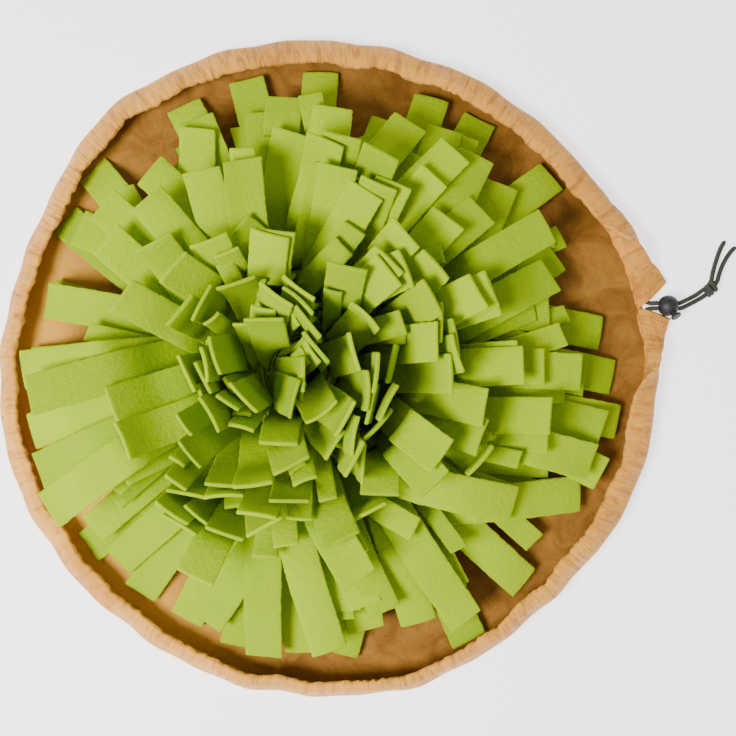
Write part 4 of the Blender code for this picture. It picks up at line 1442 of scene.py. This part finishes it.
def lay_filler(space, foot, bearing, heading, length, width, slopes):
    """Rows of a narrow strip that finds its way up between those already laid, or None."""
    centre = foot
    rows = []
    ahead = unit(heading)
    turn = wrap(heading - bearing, 90.0)
    last_slope = 85.0
    for k, twist in enumerate(TWIST_AT):
        side = unit(bearing + 90.0 + turn * twist)
        across = np.array((side.x, side.y, 0.0)) * width / 2
        if k == 0:
            rows.append([centre - across, centre + across])
            continue
        run = (ROW_AT[k] - ROW_AT[k - 1]) * length
        for change in FILL_SLOPES:
            slope = slopes[k - 1] + change
            if abs(slope - last_slope) > 46.0 and k > 1 or slope > 100.0:
                continue
            tip = next_tip(centre, ahead, run, slope)
            row = [tip - across, tip + across]
            if space.free(samples(rows[-1], row)):
                break
        else:
            return None
        rows.append(row)
        centre = tip
        last_slope = slope
    return rows


def fill_pile(ring_strips, dice):
    """Narrower strips wherever the laid ones leave room, most upright near the crown."""
    space = Space()
    for strips in ring_strips:
        for _, _, rows in strips:
            space.add(rows)
    queue = []
    for ring in range(-1, RING_COUNT - 1):
        focus = CROWN.lerp(OUTER_CENTRE, (max(0, ring) / (RING_COUNT - 1)) ** 1.6)
        count = int(2 * math.pi * ring_radius(ring) / FILL_PITCH)
        for k in range(count):
            foot = wall_point(ring, (k + dice.uniform(-0.4, 0.4)) * 360.0 / count,
                              WALL_TOP + FILL_FOOT)
            away = Vector((foot[0], foot[1])) - focus
            heading = bearing_of(away) + dice.gauss(0.0, FILL_SWING)
            queue.append((away.length, ring, foot, heading,
                          STRIP_LENGTH - dice.uniform(0, FILL_SHORTER)))
    queue.sort(key=lambda strip: strip[0])
    for away, ring, foot, heading, length in queue:
        spread = away / ring_radius(RING_COUNT - 1) - 0.15 + dice.uniform(-0.1, 0.1)
        slopes = slopes_at(min(1.0, max(0.0, spread)))
        tries = [(width, share, turn * swing) for width, share, swing in FILL_TRIES
                 for turn in (0, 1, -1, 2, -2, 3.5)]
        for width, share, turn in tries:
            rows = lay_filler(space, foot, heading + turn, heading + turn * 0.5, length * share,
                              width, slopes)
            if rows and inside_rim(rows):
                space.add(rows)
                foot_row = [point - (0.0, 0.0, FILL_FOOT + 2.0) for point in rows[0]]
                ring_strips[max(0, ring)].append((heading, 0.0, [foot_row] + rows))
                break


def drawn_out(rows):
    """A strip at the edge, with its tip drawn out to its own place where the rim leaves room."""
    tip = np.mean(rows[-1], axis=0)
    for tip_x, tip_y, heading in EDGE_STRIPS:
        ahead = unit(heading)
        more = Vector((tip_x - tip[0], tip_y - tip[1]))
        along = more.dot(ahead)
        if not 1.0 < along < 30.0 or abs(more.cross(ahead)) > 0.5:
            continue
        for share in (1.0, 0.75, 0.5, 0.25):
            out = min(along, LONGEST_DRAW) * share
            step = np.array((ahead.x * out, ahead.y * out, -0.1 * out))
            last = [np.maximum(point + step, (-1e9, -1e9, 4.4)) for point in rows[-1]]
            if inside_rim([last]):
                return rows[:-1] + [last]
    return rows


def make_fleece_ring(ring, strips, material, dice):
    """One ring of fleece: its band sewn to the base, and the strips cut in it."""
    points, faces = wall_points(ring)
    blocks = [points]
    # Painted shade: the band, deep under the pile, takes a fixed tone near the dark end of the
    # strips' tones
    tones = [np.full(len(points), 0.2)]
    first = len(points)
    around = len(STRIP_SECTION)
    for bearing, half, rows in sorted(strips, key=lambda strip: strip[0]):
        grid = strip_points(drawn_out(rows), dice)
        tone = dice.uniform(0.0, 1.0)
        blocks.append(grid.reshape(-1, 3))
        tones.append(np.full(len(grid) * around, tone))
        faces += capped_faces(len(grid), around, first)
        first += len(grid) * around
    return make_piece("fleece_ring_%02d" % (ring + 1), np.concatenate(blocks), faces, material,
                      tone=np.concatenate(tones))


def make_fleece(material):
    dice = random.Random(SEED)
    heights = Heights()
    add_walls(heights)
    ring_strips = [[] for _ in range(RING_COUNT)]
    lay_edge_strips(heights, ring_strips, dice)
    for _ in range(PILE_PASSES):
        lay_pile_strips(heights, ring_strips, dice)
    looks = random.Random(LOOK_SEED)
    fill_pile(ring_strips, looks)
    return [make_fleece_ring(ring, strips, material, looks)
            for ring, strips in enumerate(ring_strips)]


# The whole scene

def dress(piece, slot, *nodes, body="root"):
    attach(piece, body)
    if nodes:
        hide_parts(*nodes)


def main():
    make_camera()
    cord = cord_material()
    routes = free_cord_routes()
    knot = make_knot_wraps(cord)
    dress(knot, "cord", "cord_knot")
    for side, companions in (("upper", [knot]), ("lower", [])):
        route = routes[side]
        piece = braided_tube(side + "_cord", route, CORD_RADIUS, cord)
        dress(piece, "cord", "cord_%s_lead" % side, "cord_%s_tail" % side)
    drawn = braided_tube("drawstring_braid", drawstring_route(), CORD_RADIUS, cord)
    dress(drawn, "cord", "drawstring")

    shell, plunger = make_lock_pieces(lock_material())
    dress(shell, "lock", "lock_body")
    dress(plunger, "lock", "lock_button", body="button")

    fleece = make_fleece(fleece_material())
    for ring, piece in enumerate(fleece):
        dress(piece, "fleece", "fleece_band_%02d" % (ring + 1))

    base = make_base_cloth(panel_material())
    dress(base, "panel", "base_panel")

    rim = make_rim_cloth(casing_material("woven_casing", CASING_LIGHT, CASING_DEEP))
    welt = make_seam_welt(casing_material("woven_welt", WELT_LIGHT, CASING_DEEP))
    hems = make_stitches("hem_stitches", hem_lines(), thread_material())
    dress(rim, "casing", "rim_casing")
    dress(welt, "casing")
    dress(hems, "casing")

    make_floor(floor_material())
    make_light()


SHIFT = outline_shift()
main()
